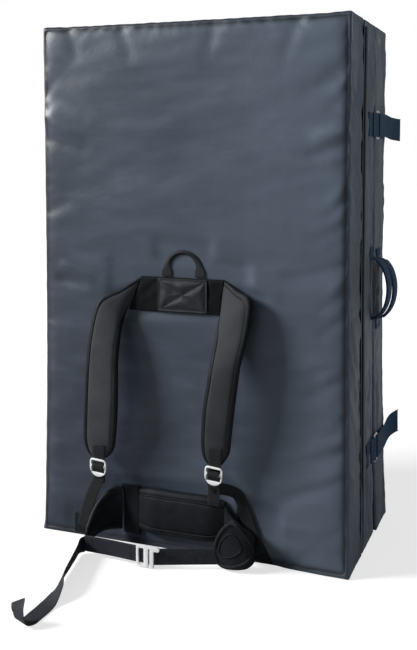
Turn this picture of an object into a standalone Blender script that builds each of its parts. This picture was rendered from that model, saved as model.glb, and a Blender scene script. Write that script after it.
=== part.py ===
# Folding bouldering crash pad, standing on edge, folded in three, with its carrying harness.
#
# Metres, +Z up. The harness face looks along -Y and +X is the viewer's right.
# The origin is the centre of the middle panel's flat bottom face.
# The panels fold like a Z: the front fold is at the right side and the back fold at the left side.
# Sewn pieces keep a small gap to what they are sewn to, so that every piece is its own closed solid.

import math

import bmesh
import bpy
from mathutils import Vector
from mathutils.geometry import tessellate_polygon

for old in list(bpy.data.objects):
    bpy.data.objects.remove(old)

# Driving sizes of the pad
PANEL_WIDTH = 0.680
PANEL_HEIGHT = 1.100
PANEL_THICKNESS = 0.110
FRONT_FOLD_GAP = 0.016
BACK_FOLD_GAP = 0.010
FOLD_AXIS_OUT = 0.006

# Cushion form of a panel
EDGE_RADIUS = 0.008
CROWN = 0.004
SIDE_DRAW = 0.003
TOP_DIP = 0.006
EAR_START_SHARE = 0.82
CROWN_POWER = 4
SIDE_DRAW_POWER = 6
TOP_DIP_POWER = 12
SMOOTH_ANGLE = math.radians(40)
COVER_WALL = 0.0012

# Gaps between sewn or stacked pieces
SEAT_GAP = 0.0004
FACE_GAP = 0.0008

# Foam layers
FIRM_FOAM_THICKNESS = 0.025

# Zip in the top wall of each cover
ZIP_END_MARGIN = 0.080
ZIP_LENGTH = PANEL_WIDTH - 2 * ZIP_END_MARGIN
ZIP_WIDTH = 0.018
ZIP_CHAIN_WIDTH = 0.005
ZIP_CHAIN_HEIGHT = 0.0016
SLIDER_LENGTH = 0.013
SLIDER_WIDTH = 0.009
SLIDER_HEIGHT = 0.004
PULL_LENGTH = 0.026
PULL_THICKNESS = 0.0015

# Fabric hinge strips
HINGE_FABRIC = 0.0010
HINGE_SEAM_IN = 0.018
HINGE_DEPTH = 0.022
HINGE_END_MARGIN = 0.030

# Webbings and fabric plies
WEBBING = 0.0018
HEAVY_WEBBING = 0.0025
CLOSURE_WEBBING_WIDTH = 0.050
HANDLE_WEBBING_WIDTH = 0.038
BELT_WEBBING_WIDTH = 0.033
ADJUSTER_WEBBING_WIDTH = 0.025

# Yoke that carries the shoulder straps
YOKE_LEFT_LOW = -0.1309
YOKE_LEFT_HIGH = -0.1029
YOKE_RIGHT_LOW = 0.0740
YOKE_RIGHT_HIGH = 0.0825
YOKE_TOP = 0.573
YOKE_BOTTOM = 0.501
YOKE_PATCH_LEFT = -0.063
YOKE_PATCH_RIGHT = 0.046
YOKE_PATCH_MARGIN = 0.002

# Haul loop above the yoke
HAUL_LEG_LEFT = -0.044
HAUL_LEG_RIGHT = 0.028
HAUL_LEG_WIDTH = 0.022
HAUL_TOP_WIDTH = 0.013
HAUL_RISE = 0.050
HAUL_AXIS_RISE = 0.0025
HAUL_STRAIGHT_SHARE = 0.25

# Padded shoulder straps
STRAP_DROP = 0.380
STRAP_THICKNESS = 0.013
STRAP_STANDOFF = 0.044
STRAP_AXIS_RISE = 0.003
STRAP_TAB_WIDTH = 0.028
STRAP_TAB_DROP = 0.001

# Ladder locks that adjust the shoulder straps
LOCK_WIDTH = 0.038
LOCK_THICKNESS = 0.0032
LOCK_RAIL = 0.0042
LOCK_TOP_BAR = 0.0044
LOCK_TOP_SLOT = 0.0086
LOCK_MIDDLE_BAR = 0.0060
LOCK_LOW_SLOT = 0.0115
LOCK_LIP = 0.0095
LOCK_TOP_CORNER = 0.006
LOCK_LIP_CORNER = 0.012
SLOT_CORNER = 0.0016
ADJUSTER_TAIL_SPACING = 0.0034

# Lumbar pad and hip fins
LUMBAR_LEFT = -0.106
LUMBAR_RIGHT = 0.084
LUMBAR_TOP = 0.129
LUMBAR_BOTTOM = 0.033
LUMBAR_THICKNESS = 0.020
SLEEVE_WIDTH = 0.040
SLEEVE_THICKNESS = 0.007
SLEEVE_TOP = 0.127
SLEEVE_BOTTOM = 0.024
FIN_THICKNESS = 0.012
FIN_HINGE_OUT = 0.010
FIN_ROOT_GAP = 0.0022

# Belt webbing and its hook buckle
BELT_CENTRE_HEIGHT = 0.0235
BELT_RIGHT_END_HEIGHT = 0.026
BELT_HOOKED_HEIGHT = 0.0225
BELT_FRONT = 0.098
HOOK_LEFT = -0.072
HOOK_HEIGHT = 0.044
HOOK_THICKNESS = 0.0034
HOOK_LEFT_BAR = 0.0050
HOOK_RAIL = 0.0055
HOOK_SLOT = 0.0115
HOOK_BODY = 0.0095
HOOK_GROOVE = 0.0036
HOOK_RIGHT_BAR = 0.0080
HOOK_HORN = 0.0130
HOOK_HORN_HEIGHT = 0.0095
HOOK_CORNER = 0.0024
HOOK_SMALL_CORNER = 0.0008
BELT_LAP = 0.022
TAIL_REACH = 0.385

# Lower anchors of the adjuster webbing
ANCHOR_LEFT_X = -0.247
ANCHOR_LEFT_WIDTH = 0.036
ANCHOR_LEFT_HEIGHT = 0.042
ANCHOR_RIGHT_LEFT_LOW = 0.122
ANCHOR_RIGHT_LEFT_HIGH = 0.108
ANCHOR_RIGHT_RIGHT_LOW = 0.184
ANCHOR_RIGHT_RIGHT_HIGH = 0.126
ANCHOR_RIGHT_HEIGHT = 0.104
ANCHOR_BOTTOM = 0.006

# Closures on the free edges
CLOSURE_UPPER_Z = 0.888
CLOSURE_LOWER_Z = 0.190
RING_WIRE = 0.0040
RING_DEPTH = 0.024
RING_CORNER = 0.003
CLOSURE_ANCHOR_LENGTH = 0.066
CLOSURE_ANCHOR_LAP = 0.030
CLOSURE_STRAP_START = 0.088
CLOSURE_RIGHT_TAIL = 0.134
CLOSURE_LEFT_TAIL = 0.080
CLOSURE_TAIL_LIFT = 0.020
CLOSURE_TAIL_FLAT_SHARE = 0.545
CLOSURE_TAIL_BEND_AT_SHARE = 0.83
CLOSURE_TAIL_BEND_SHARE = 0.25

# Carry handles on the right side
HANDLE_MIDDLE_Z = 0.5415
HANDLE_BACK_Z = 0.532
HANDLE_CHORD = 0.130
HANDLE_FOOT = 0.023
HANDLE_BOW = 0.037
HANDLE_FROM_FOLD = 0.031

HALF_WIDTH = PANEL_WIDTH / 2
HALF_THICKNESS = PANEL_THICKNESS / 2
FRONT_Y = -(PANEL_THICKNESS + FRONT_FOLD_GAP)
BACK_Y = PANEL_THICKNESS + BACK_FOLD_GAP
FRONT_FOLD_Y = -(HALF_THICKNESS + FRONT_FOLD_GAP / 2)
BACK_FOLD_Y = HALF_THICKNESS + BACK_FOLD_GAP / 2
OUT = Vector((0, -1, 0))
UP = Vector((0, 0, 1))
ALONG_Y = Vector((0, 1, 0))


# Materials

def material(name, colour, roughness, metallic=0.0):
    made = bpy.data.materials.new(name)
    made.use_nodes = True
    shader = made.node_tree.nodes["Principled BSDF"]
    shader.inputs["Base Color"].default_value = (*colour, 1)
    shader.inputs["Roughness"].default_value = roughness
    shader.inputs["Metallic"].default_value = metallic
    return made


COVER_FABRIC = material("coated_cover_fabric", (0.085, 0.105, 0.135), 0.45)
SOFT_FOAM = material("open_cell_foam", (0.72, 0.70, 0.60), 0.95)
FIRM_FOAM = material("closed_cell_foam", (0.16, 0.17, 0.19), 0.85)
ZIP_TAPE = material("zip_tape", (0.02, 0.02, 0.023), 0.8)
ZIP_METAL = material("zip_metal", (0.50, 0.50, 0.52), 0.35, 1.0)
HINGE_CLOTH = material("hinge_fabric", (0.012, 0.013, 0.016), 0.8)
BLACK_WEBBING = material("black_webbing", (0.024, 0.026, 0.031), 0.75)
HARNESS_FABRIC = material("harness_fabric", (0.028, 0.030, 0.036), 0.8)
SPACER_MESH = material("spacer_mesh", (0.055, 0.055, 0.060), 0.9)
NAVY_WEBBING = material("navy_webbing", (0.022, 0.036, 0.062), 0.7)
BRIGHT_METAL = material("bright_metal", (0.86, 0.86, 0.87), 0.25, 1.0)


# Axis empties: each moving piece hangs from one that stands on its joint's axis

def axis_empty(name, place, parent=None):
    empty = bpy.data.objects.new(name, None)
    bpy.context.scene.collection.objects.link(empty)
    empty.location = place
    bpy.context.view_layer.update()
    if parent:
        attach(empty, parent)
    return empty


def attach(child, parent):
    bpy.context.view_layer.update()
    child.parent = parent
    child.matrix_parent_inverse = parent.matrix_world.inverted()
    bpy.context.view_layer.update()


# Solids from rings and faces

def solid(name, points, faces, surface, parent=None, smooth=False):
    mesh = bpy.data.meshes.new(name)
    mesh.from_pydata(points, [], faces)
    shell = bmesh.new()
    shell.from_mesh(mesh)
    bmesh.ops.recalc_face_normals(shell, faces=shell.faces)
    shell.to_mesh(mesh)
    shell.free()
    if smooth:
        mesh.shade_smooth()
        mesh.set_sharp_from_angle(angle=SMOOTH_ANGLE)
    mesh.materials.append(surface)
    made = bpy.data.objects.new(name, mesh)
    bpy.context.scene.collection.objects.link(made)
    if parent:
        attach(made, parent)
    return made


def loft(name, rings, surface, parent=None, smooth=False, closed=False):
    """Skins a row of rings of equal length, and caps the ends unless the row is closed."""
    count = len(rings[0])
    points = [p for ring in rings for p in ring]
    faces = []
    spans = len(rings) if closed else len(rings) - 1
    for row in range(spans):
        here = row * count
        there = ((row + 1) % len(rings)) * count
        for n in range(count):
            m = (n + 1) % count
            faces.append((here + n, here + m, there + m, there + n))
    if not closed:
        faces.append(tuple(range(count)))
        faces.append(tuple((len(rings) - 1) * count + n for n in range(count)))
    return solid(name, points, faces, surface, parent, smooth)


def tangents(path, closed=False):
    found = []
    last = len(path) - 1
    for n in range(len(path)):
        before = path[n - 1] if n > 0 or closed else path[0]
        after = path[(n + 1) % len(path)] if n < last or closed else path[last]
        found.append((after - before).normalized())
    return found


def frames(path, outward=None, across=None, closed=False):
    """Width and thickness directions along a path, from an outward hint or from given widths."""
    made = []
    widths = across if isinstance(across, list) else [across] * len(path)
    for tangent, wide in zip(tangents(path, closed), widths):
        if wide is not None:
            side = wide.normalized()
            normal = side.cross(tangent).normalized()
        else:
            normal = (outward - outward.dot(tangent) * tangent).normalized()
            side = tangent.cross(normal).normalized()
        made.append((side, normal))
    return made


def ribbon(name, path, width, thickness, surface, parent=None, outward=None, across=None):
    """A flat webbing whose middle line is the path. The width is one value or one for each point."""
    widths = width if isinstance(width, (list, tuple)) else [width] * len(path)
    rings = []
    for place, (side, normal), wide in zip(path, frames(path, outward, across), widths):
        half = side * (wide / 2)
        ply = normal * (thickness / 2)
        rings.append([place - half - ply, place + half - ply, place + half + ply, place - half + ply])
    return loft(name, rings, surface, parent)


PAD_PROFILE_SHARES = ((-1, 0.40), (-0.86, 0.0), (0.86, 0.0), (1, 0.40), (0.86, 0.86), (0.45, 1.0),
                      (-0.45, 1.0), (-0.86, 0.86))


def padded(name, path, widths, thicknesses, surface, parent=None, outward=None, across=None):
    """A cushioned strap: the path runs along the middle of its back, and its outer side is crowned."""
    rings = []
    rows = zip(path, frames(path, outward, across), widths, thicknesses)
    for place, (side, normal), wide, thick in rows:
        rings.append([place + side * (wide / 2 * a) + normal * (thick * b) for a, b in PAD_PROFILE_SHARES])
    return loft(name, rings, surface, parent, smooth=True)


def padded_between(name, outer, inner, thicknesses, surface, parent):
    """A cushioned strap between two edge lines on its back. Returns its middle places, sides and normals."""
    middles = [(a + b) / 2 for a, b in zip(outer, inner)]
    rings = []
    rows = []
    for a, b, place, along, thick in zip(outer, inner, middles, tangents(middles), thicknesses):
        half = (a - b) / 2
        normal = half.cross(along).normalized()
        if normal.dot(OUT) < 0:
            normal.negate()
        rings.append([place + half * u + normal * (thick * v) for u, v in PAD_PROFILE_SHARES])
        rows.append((place, half.normalized(), normal))
    loft(name, rings, surface, parent, smooth=True)
    return rows


def smooth_path(points, steps):
    """A curve through the points, with so many steps between neighbours."""
    made = []
    for n in range(len(points) - 1):
        a = points[max(n - 1, 0)]
        b = points[n]
        c = points[n + 1]
        d = points[min(n + 2, len(points) - 1)]
        for step in range(steps):
            t = step / steps
            made.append(0.5 * (2 * b + (c - a) * t + (2 * a - 5 * b + 4 * c - d) * t * t
                               + (3 * b - a - 3 * c + d) * t * t * t))
    made.append(points[-1])
    return made


def between(values, steps):
    """Values for the points of smooth_path, eased between the given ones."""
    made = []
    for n in range(len(values) - 1):
        for step in range(steps):
            t = step / steps
            made.append(values[n] + (values[n + 1] - values[n]) * t * t * (3 - 2 * t))
    made.append(values[-1])
    return made


# Form of a panel

def crown(x, z):
    u = min(abs(x) / HALF_WIDTH, 1)
    v = min(abs(2 * z / PANEL_HEIGHT - 1), 1)
    return CROWN * (1 - u ** CROWN_POWER) * (1 - v ** CROWN_POWER)


def side_draw(z):
    v = min(abs(2 * z / PANEL_HEIGHT - 1), 1)
    return SIDE_DRAW * (1 - v * v)


def top_dip(x):
    u = min(abs(x) / HALF_WIDTH, 1)
    t = max(u - EAR_START_SHARE, 0) / (1 - EAR_START_SHARE)
    return TOP_DIP * (1 - t * t * (3 - 2 * t))


def on_face(x, z, lift):
    """A point over the harness face of the front panel."""
    return Vector((x, FRONT_Y - HALF_THICKNESS - crown(x, z) - lift, z))


def on_right_side(y, z, lift):
    return Vector((HALF_WIDTH - side_draw(z) + lift, y, z))


def cushion_point(point):
    x, y, z = point
    core = Vector((
        max(-HALF_WIDTH + EDGE_RADIUS, min(HALF_WIDTH - EDGE_RADIUS, x)),
        max(-HALF_THICKNESS + EDGE_RADIUS, min(HALF_THICKNESS - EDGE_RADIUS, y)),
        max(EDGE_RADIUS, min(PANEL_HEIGHT - EDGE_RADIUS, z)),
    ))
    reach = Vector(point) - core
    if reach.length > 0:
        reach.normalize()
    made = core + reach * EDGE_RADIUS
    made.y += crown(made.x, made.z) * made.y / HALF_THICKNESS
    made.x -= math.copysign(side_draw(made.z) * (abs(made.x) / HALF_WIDTH) ** SIDE_DRAW_POWER, made.x)
    made.z -= top_dip(made.x) * (made.z / PANEL_HEIGHT) ** TOP_DIP_POWER
    return made


def edge_stops(low, high, middle):
    """Grid lines that follow the rounded edges, with the given lines between them."""
    bend = EDGE_RADIUS * math.tan(math.pi / 8)
    first = [low, low + EDGE_RADIUS - bend, low + EDGE_RADIUS]
    last = [high - EDGE_RADIUS, high - EDGE_RADIUS + bend, high]
    return first + middle + last


def cover_grid():
    """The outer skin of a panel as a grid on six sides, open at the zip slot in its top."""
    xs = edge_stops(-HALF_WIDTH, HALF_WIDTH, [ZIP_LENGTH / 2 * s for s in (-1, -0.5, 0, 0.5, 1)])
    ys = edge_stops(-HALF_THICKNESS, HALF_THICKNESS, [-ZIP_WIDTH / 2, ZIP_WIDTH / 2])
    rows = 6
    inner = PANEL_HEIGHT - 2 * EDGE_RADIUS
    zs = edge_stops(0, PANEL_HEIGHT, [EDGE_RADIUS + inner * n / rows for n in range(1, rows)])
    index = {}
    points = []

    def corner(x, y, z):
        if (x, y, z) not in index:
            index[(x, y, z)] = len(points)
            points.append(cushion_point((x, y, z)))
        return index[(x, y, z)]

    faces = []
    for x0, x1 in zip(xs, xs[1:]):
        for z0, z1 in zip(zs, zs[1:]):
            for y in (ys[0], ys[-1]):
                faces.append((corner(x0, y, z0), corner(x1, y, z0), corner(x1, y, z1), corner(x0, y, z1)))
        for y0, y1 in zip(ys, ys[1:]):
            in_slot = abs(x0 + x1) < ZIP_LENGTH and abs(y0 + y1) < ZIP_WIDTH
            for z in (zs[0], zs[-1]):
                if z == zs[-1] and in_slot:
                    continue
                faces.append((corner(x0, y0, z), corner(x1, y0, z), corner(x1, y1, z), corner(x0, y1, z)))
    for y0, y1 in zip(ys, ys[1:]):
        for z0, z1 in zip(zs, zs[1:]):
            for x in (xs[0], xs[-1]):
                faces.append((corner(x, y0, z0), corner(x, y1, z0), corner(x, y1, z1), corner(x, y0, z1)))
    return points, faces


def build_cover(name, y, parent):
    points, faces = cover_grid()
    place = Vector((0, y, 0))
    made = solid(name, [p + place for p in points], faces, COVER_FABRIC, parent, smooth=True)
    wall = made.modifiers.new("wall", "SOLIDIFY")
    wall.thickness = COVER_WALL
    wall.offset = -1
    wall.use_even_offset = True
    return made


def build_foam(name, y, low_y, high_y, surface, parent):
    """One foam layer of the stack in a cover, cut from the stack's rounded block between two planes."""
    clear = COVER_WALL + SEAT_GAP
    half_x = HALF_WIDTH - clear - SIDE_DRAW
    half_y = HALF_THICKNESS - clear
    high_z = PANEL_HEIGHT - clear - TOP_DIP
    block = bmesh.new()
    bmesh.ops.create_cube(block, size=1)
    bmesh.ops.scale(block, vec=(2 * half_x, 2 * half_y, high_z - clear), verts=block.verts)
    bmesh.ops.translate(block, vec=(0, y, (high_z + clear) / 2), verts=block.verts)
    bmesh.ops.bevel(block, geom=list(block.edges), offset=EDGE_RADIUS, segments=2, profile=0.5,
                    affect="EDGES", clamp_overlap=True)
    for plane_y, normal_y in ((low_y, -1), (high_y, 1)):
        cut = bmesh.ops.bisect_plane(block, geom=list(block.verts) + list(block.edges) + list(block.faces),
                                     plane_co=(0, plane_y, 0), plane_no=(0, normal_y, 0), clear_outer=True)
        rim = [g for g in cut["geom_cut"] if isinstance(g, bmesh.types.BMEdge)]
        if rim:
            bmesh.ops.contextual_create(block, geom=rim)
    points = [v.co.copy() for v in block.verts]
    block.verts.index_update()
    faces = [tuple(v.index for v in f.verts) for f in block.faces]
    block.free()
    return solid(name, points, faces, surface, parent)


def build_zip(name, y, parent):
    """Tape and chain as one strip that fills the cover's slot."""
    top = PANEL_HEIGHT - TOP_DIP
    half = ZIP_WIDTH / 2 - SEAT_GAP
    chain = ZIP_CHAIN_WIDTH / 2
    low = top - COVER_WALL
    high = top + ZIP_CHAIN_HEIGHT
    outline = [(-half, low), (half, low), (half, top), (chain, top), (chain, high), (-chain, high),
               (-chain, top), (-half, top)]
    reach = ZIP_LENGTH / 2 - SEAT_GAP
    rings = [[Vector((x, y + a, b)) for a, b in outline] for x in (-reach, reach)]
    return loft(name, rings, ZIP_TAPE, parent)


def build_slider(name, y, parent):
    base = PANEL_HEIGHT - TOP_DIP + ZIP_CHAIN_HEIGHT + SEAT_GAP
    start = ZIP_LENGTH / 2 - SLIDER_LENGTH
    under_pull = SLIDER_HEIGHT - PULL_THICKNESS
    outline = [(0, 0), (-SLIDER_LENGTH, 0), (-SLIDER_LENGTH, SLIDER_HEIGHT), (PULL_LENGTH, SLIDER_HEIGHT),
               (PULL_LENGTH, under_pull), (0, under_pull)]
    rings = []
    for side in (-SLIDER_WIDTH / 2, SLIDER_WIDTH / 2):
        rings.append([Vector((start + a, y + side, base + b)) for a, b in outline])
    return loft(name, rings, ZIP_METAL, parent)


def build_panel(name, y, firm_side, parent):
    """Cover, two foam layers and the zip. The firm layer lies on the side that firm_side names."""
    build_cover(f"{name}_cover", y, parent)
    seam = y + firm_side * (HALF_THICKNESS - COVER_WALL - FIRM_FOAM_THICKNESS)
    far = 2 * PANEL_THICKNESS
    apart = SEAT_GAP / 2
    if firm_side < 0:
        firm = (y - far, seam - apart)
        soft = (seam + apart, y + far)
    else:
        firm = (seam + apart, y + far)
        soft = (y - far, seam - apart)
    build_foam(f"{name}_firm_foam", y, *firm, FIRM_FOAM, parent)
    build_foam(f"{name}_soft_foam", y, *soft, SOFT_FOAM, parent)
    build_zip(f"{name}_zip", y, parent)
    slider_axis = axis_empty(f"{name}_zip_line", (ZIP_LENGTH / 2, y, PANEL_HEIGHT - TOP_DIP), parent)
    build_slider(f"{name}_zip_slider", y, slider_axis)


# Fabric hinges

def build_hinge(name, side, fold_y, gap, parent):
    """A strip sewn along both panels' edges and tucked between them, open towards the pad's side."""
    rows = 8
    rings = []
    outer = HALF_WIDTH - HINGE_SEAM_IN
    inner = outer - HINGE_DEPTH
    for row in range(rows + 1):
        z = HINGE_END_MARGIN + (PANEL_HEIGHT - 2 * HINGE_END_MARGIN) * row / rows
        ring = []
        for x, end, ply in ((outer, -1, 0), (inner, -1, 0), (inner, 1, 0), (outer, 1, 0),
                            (outer, 1, HINGE_FABRIC), (inner + HINGE_FABRIC, 1, HINGE_FABRIC),
                            (inner + HINGE_FABRIC, -1, HINGE_FABRIC), (outer, -1, HINGE_FABRIC)):
            reach = gap / 2 - crown(x, z) - SEAT_GAP - ply
            ring.append(Vector((side * x, fold_y + end * reach, z)))
        rings.append(ring)
    return loft(name, rings, HINGE_CLOTH, parent)


# Flat plies sewn on the harness face

def build_ply(name, left, right, low, high, lift, thickness, surface, parent, columns=4, rows=3):
    """A ply that follows the crowned face. Left and right each give x at the low and at the high edge."""
    rings = []
    for column in range(columns + 1):
        places = []
        for row in range(rows + 1):
            rise = row / rows
            start = left[0] + (left[1] - left[0]) * rise
            end = right[0] + (right[1] - right[0]) * rise
            places.append((start + (end - start) * column / columns, low + (high - low) * rise))
        back = [on_face(x, z, lift) for x, z in places]
        front = [on_face(x, z, lift + thickness) for x, z in reversed(places)]
        rings.append(back + front)
    return loft(name, rings, surface, parent)


def build_yoke(parent):
    """The band, whose slanting ends are the seams of the shoulder straps, and the patch sewn on it."""
    left = (YOKE_LEFT_LOW, YOKE_LEFT_HIGH)
    right = (YOKE_RIGHT_LOW, YOKE_RIGHT_HIGH)
    build_ply("yoke_band", left, right, YOKE_BOTTOM, YOKE_TOP, FACE_GAP, HEAVY_WEBBING, HARNESS_FABRIC,
              parent,
              columns=6)
    left = (YOKE_PATCH_LEFT, YOKE_PATCH_LEFT)
    right = (YOKE_PATCH_RIGHT, YOKE_PATCH_RIGHT)
    build_ply("yoke_patch", left, right, YOKE_BOTTOM + YOKE_PATCH_MARGIN, YOKE_TOP - YOKE_PATCH_MARGIN,
              FACE_GAP + HEAVY_WEBBING + SEAT_GAP, WEBBING, BLACK_WEBBING, parent)


def build_haul_loop(parent):
    foot = YOKE_TOP + HAUL_AXIS_RISE
    middle = (HAUL_LEG_LEFT + HAUL_LEG_RIGHT) / 2
    axis = axis_empty("haul_loop_axis", on_face(middle, foot, SEAT_GAP + HEAVY_WEBBING / 2), parent)
    reach = (HAUL_LEG_RIGHT - HAUL_LEG_LEFT) / 2
    straight = HAUL_RISE * HAUL_STRAIGHT_SHARE
    turns = 10
    path = [Vector((HAUL_LEG_LEFT, axis.location.y, foot))]
    widths = [HAUL_LEG_WIDTH]
    for turn in range(turns + 1):
        angle = math.pi * turn / turns
        rise = straight + (HAUL_RISE - straight) * math.sin(angle)
        path.append(Vector((middle - reach * math.cos(angle), axis.location.y, foot + rise)))
        widths.append(HAUL_LEG_WIDTH + (HAUL_TOP_WIDTH - HAUL_LEG_WIDTH) * math.sin(angle))
    path.append(Vector((HAUL_LEG_RIGHT, axis.location.y, foot)))
    widths.append(HAUL_LEG_WIDTH)
    return ribbon("haul_loop", path, widths, HEAVY_WEBBING, BLACK_WEBBING, axis, outward=OUT)


# Shoulder straps. Each row gives the outer edge and the inner edge, as x by the panel's width and the fall
# below the yoke's top by the strap's drop, then shares of the strap's stand-off and of its thickness.
# The first row is the slanting seam at the yoke, and the pointed third row is the strap's shoulder.

LEFT_STRAP_SHARES = (
    (-0.1565, 0.0056, -0.1990, 0.1900, 0.00, 0.45), (-0.2170, 0.0719, -0.2019, 0.2382, 0.20, 0.90),
    (-0.2764, 0.1352, -0.2001, 0.2875, 0.50, 1.00), (-0.2957, 0.2505, -0.1992, 0.3548, 0.70, 1.00),
    (-0.3049, 0.4149, -0.1993, 0.4663, 0.89, 1.00), (-0.3084, 0.5797, -0.1973, 0.5950, 1.00, 1.00),
    (-0.3131, 0.7313, -0.1983, 0.7163, 1.00, 1.00), (-0.3201, 0.8989, -0.2081, 0.8766, 0.89, 0.96),
    (-0.3141, 0.9797, -0.2195, 0.9655, 0.80, 0.80), (-0.2956, 1.0233, -0.2452, 1.0153, 0.73, 0.50),
)
RIGHT_STRAP_SHARES = (
    (0.1262, 0.0055, 0.1131, 0.1858, 0.00, 0.45), (0.1714, 0.0494, 0.1097, 0.2504, 0.20, 0.90),
    (0.2179, 0.0898, 0.1076, 0.3189, 0.50, 1.00), (0.2203, 0.2004, 0.1028, 0.3945, 0.70, 1.00),
    (0.2102, 0.3228, 0.0982, 0.4650, 0.89, 1.00), (0.1946, 0.4422, 0.0920, 0.5371, 1.00, 1.00),
    (0.1786, 0.6488, 0.0782, 0.6827, 1.00, 1.00), (0.1654, 0.8128, 0.0703, 0.8319, 0.89, 0.96),
    (0.1563, 0.9079, 0.0718, 0.9312, 0.80, 0.80), (0.1330, 0.9740, 0.0873, 0.9868, 0.73, 0.50),
)


# Routes of the adjuster webbings down to their anchors: x as a share of the panel's width, height as a share
# of its height, and a share of the stand-off. Each free end hangs by a share of the lock's height.

LEFT_ADJUSTER_SHARES = ((-0.3187, 0.0845, 0.36), (-0.3476, 0.0433, 0.10), (-0.3600, 0.0200, 0.00))
RIGHT_ADJUSTER_SHARES = ((0.1620, 0.1280, 0.36), (0.1900, 0.0850, 0.10), (0.2120, 0.0500, 0.02),
                         (0.2300, 0.0200, 0.00))
LEFT_FREE_END_SHARE = 0.9
RIGHT_FREE_END_SHARE = 1.7
LOCK_HEIGHT = LOCK_TOP_BAR + LOCK_TOP_SLOT + LOCK_MIDDLE_BAR + LOCK_LOW_SLOT + LOCK_LIP


def build_shoulder_strap(side, shares, route_shares, free_end_share, parent):
    """Pad, sewn tab, ladder lock and adjuster webbing of one shoulder strap."""
    outer = [on_face(a * PANEL_WIDTH, YOKE_TOP - b * STRAP_DROP, FACE_GAP + e * STRAP_STANDOFF)
             for a, b, _, _, e, _ in shares]
    inner = [on_face(c * PANEL_WIDTH, YOKE_TOP - d * STRAP_DROP, FACE_GAP + e * STRAP_STANDOFF)
             for _, _, c, d, e, _ in shares]
    steps = 2
    thicknesses = between([STRAP_THICKNESS * row[-1] for row in shares], steps)
    axis_x = (outer[0].x + inner[0].x) / 2
    axis = axis_empty(f"{side}_strap_axis", on_face(axis_x, YOKE_TOP + STRAP_AXIS_RISE, FACE_GAP), parent)
    rows = padded_between(f"{side}_shoulder_pad", smooth_path(outer, steps), smooth_path(inner, steps),
                          thicknesses, SPACER_MESH, axis)

    # The tab lies on the front of the pad's end and runs down to the ladder lock's top bar
    end = rows[-1][0]
    down = (end - rows[-1 - 2 * steps][0]).normalized()
    front = (OUT - OUT.dot(down) * down).normalized()
    across = down.cross(front).normalized()
    seat = FACE_GAP + WEBBING / 2
    last = list(zip(rows, thicknesses))[-4:-1]
    tab = [place + normal * (thick + seat) for (place, _, normal), thick in last]
    sides = [wide if wide.dot(across) > 0 else -wide for _, wide, _ in rows[-4:-1]]
    bar = end + down * STRAP_TAB_DROP + front * (thicknesses[-1] + seat + SEAT_GAP)
    tab += [bar, bar + down * (LOCK_TOP_BAR + LOCK_TOP_SLOT / 2)]
    ribbon(f"{side}_strap_tab", tab, STRAP_TAB_WIDTH, WEBBING, BLACK_WEBBING, axis,
           across=[*sides, across, across])
    lock_top = bar + front * (WEBBING / 2 + SEAT_GAP + LOCK_THICKNESS / 2)
    lock_axis = axis_empty(f"{side}_ladder_lock_axis", lock_top, axis)
    build_ladder_lock(f"{side}_ladder_lock", lock_top, across, down, front, lock_axis)
    build_adjuster(side, lock_top, (across, down, front), route_shares, free_end_share, parent)


def build_adjuster(side, lock_top, directions, route_shares, free_end_share, parent):
    """The webbing comes up behind the lock, over its middle bar and down behind its lip to the anchor."""
    across, down, front = directions
    wrap = SEAT_GAP + WEBBING / 2
    ply = LOCK_THICKNESS / 2 + wrap
    hang = ply + ADJUSTER_TAIL_SPACING
    high = LOCK_TOP_BAR + LOCK_TOP_SLOT
    low = high + LOCK_MIDDLE_BAR
    edge = LOCK_THICKNESS / 2
    turns = ((LOCK_HEIGHT * free_end_share + low, -hang), (low, -hang), (high, -hang + wrap / 2),
             (high - wrap, -ply), (high - wrap, edge), (high, ply), (low, ply), (low + wrap, edge),
             (low + wrap, -edge), (low + 2 * wrap, -ply), (LOCK_HEIGHT, -ply),
             (LOCK_HEIGHT + high / 2, -ply))
    passed = [lock_top + down * fall + front * rise for fall, rise in turns]
    lift = FACE_GAP + HEAVY_WEBBING + SEAT_GAP + WEBBING / 2
    route = [on_face(a * PANEL_WIDTH, b * PANEL_HEIGHT, lift + c * STRAP_STANDOFF)
             for a, b, c in route_shares]
    path = passed[:-1] + smooth_path([passed[-1], *route], 3)
    widths = [across] * len(passed)
    for tangent in tangents(path)[len(passed):]:
        wide = tangent.cross(OUT).normalized()
        widths.append(wide if wide.dot(across) > 0 else -wide)
    ribbon(f"{side}_adjuster_webbing", path, ADJUSTER_WEBBING_WIDTH, WEBBING, BLACK_WEBBING, parent,
           across=widths)


def rounded(corners, radii, steps):
    """A closed line through square corners, each turned into an arc of its own radius."""
    made = []
    for n, (corner, radius) in enumerate(zip(corners, radii)):
        before = (corners[n - 1] - corner).normalized()
        after = (corners[(n + 1) % len(corners)] - corner).normalized()
        centre = corner + (before + after) * radius
        for step in range(steps + 1):
            angle = math.pi / 2 * step / steps
            made.append(centre - after * (radius * math.cos(angle)) - before * (radius * math.sin(angle)))
    return made


def metal_plate(name, place, directions, outlines, thickness, parent):
    """A flat plate with holes. Outlines are closed lines in the plate's own plane, the outer one first."""
    across, down, front = directions
    loops = [[Vector((p.x, p.y, 0)) for p in outline] for outline in outlines]
    flat = [p for loop_points in loops for p in loop_points]
    count = len(flat)
    triangles = [tuple(t) for t in tessellate_polygon(loops)]
    points = []
    for rise in (-thickness / 2, thickness / 2):
        points += [place + across * p.x + down * p.y + front * rise for p in flat]
    faces = triangles + [tuple(n + count for n in reversed(t)) for t in triangles]
    first = 0
    for loop_points in loops:
        size = len(loop_points)
        for n in range(size):
            here = first + n
            there = first + (n + 1) % size
            faces.append((here, there, there + count, here + count))
        first += size
    return solid(name, points, faces, BRIGHT_METAL, parent)


def box_corners(left, right, top, bottom):
    return [Vector((left, top, 0)), Vector((right, top, 0)), Vector((right, bottom, 0)),
            Vector((left, bottom, 0))]


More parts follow.
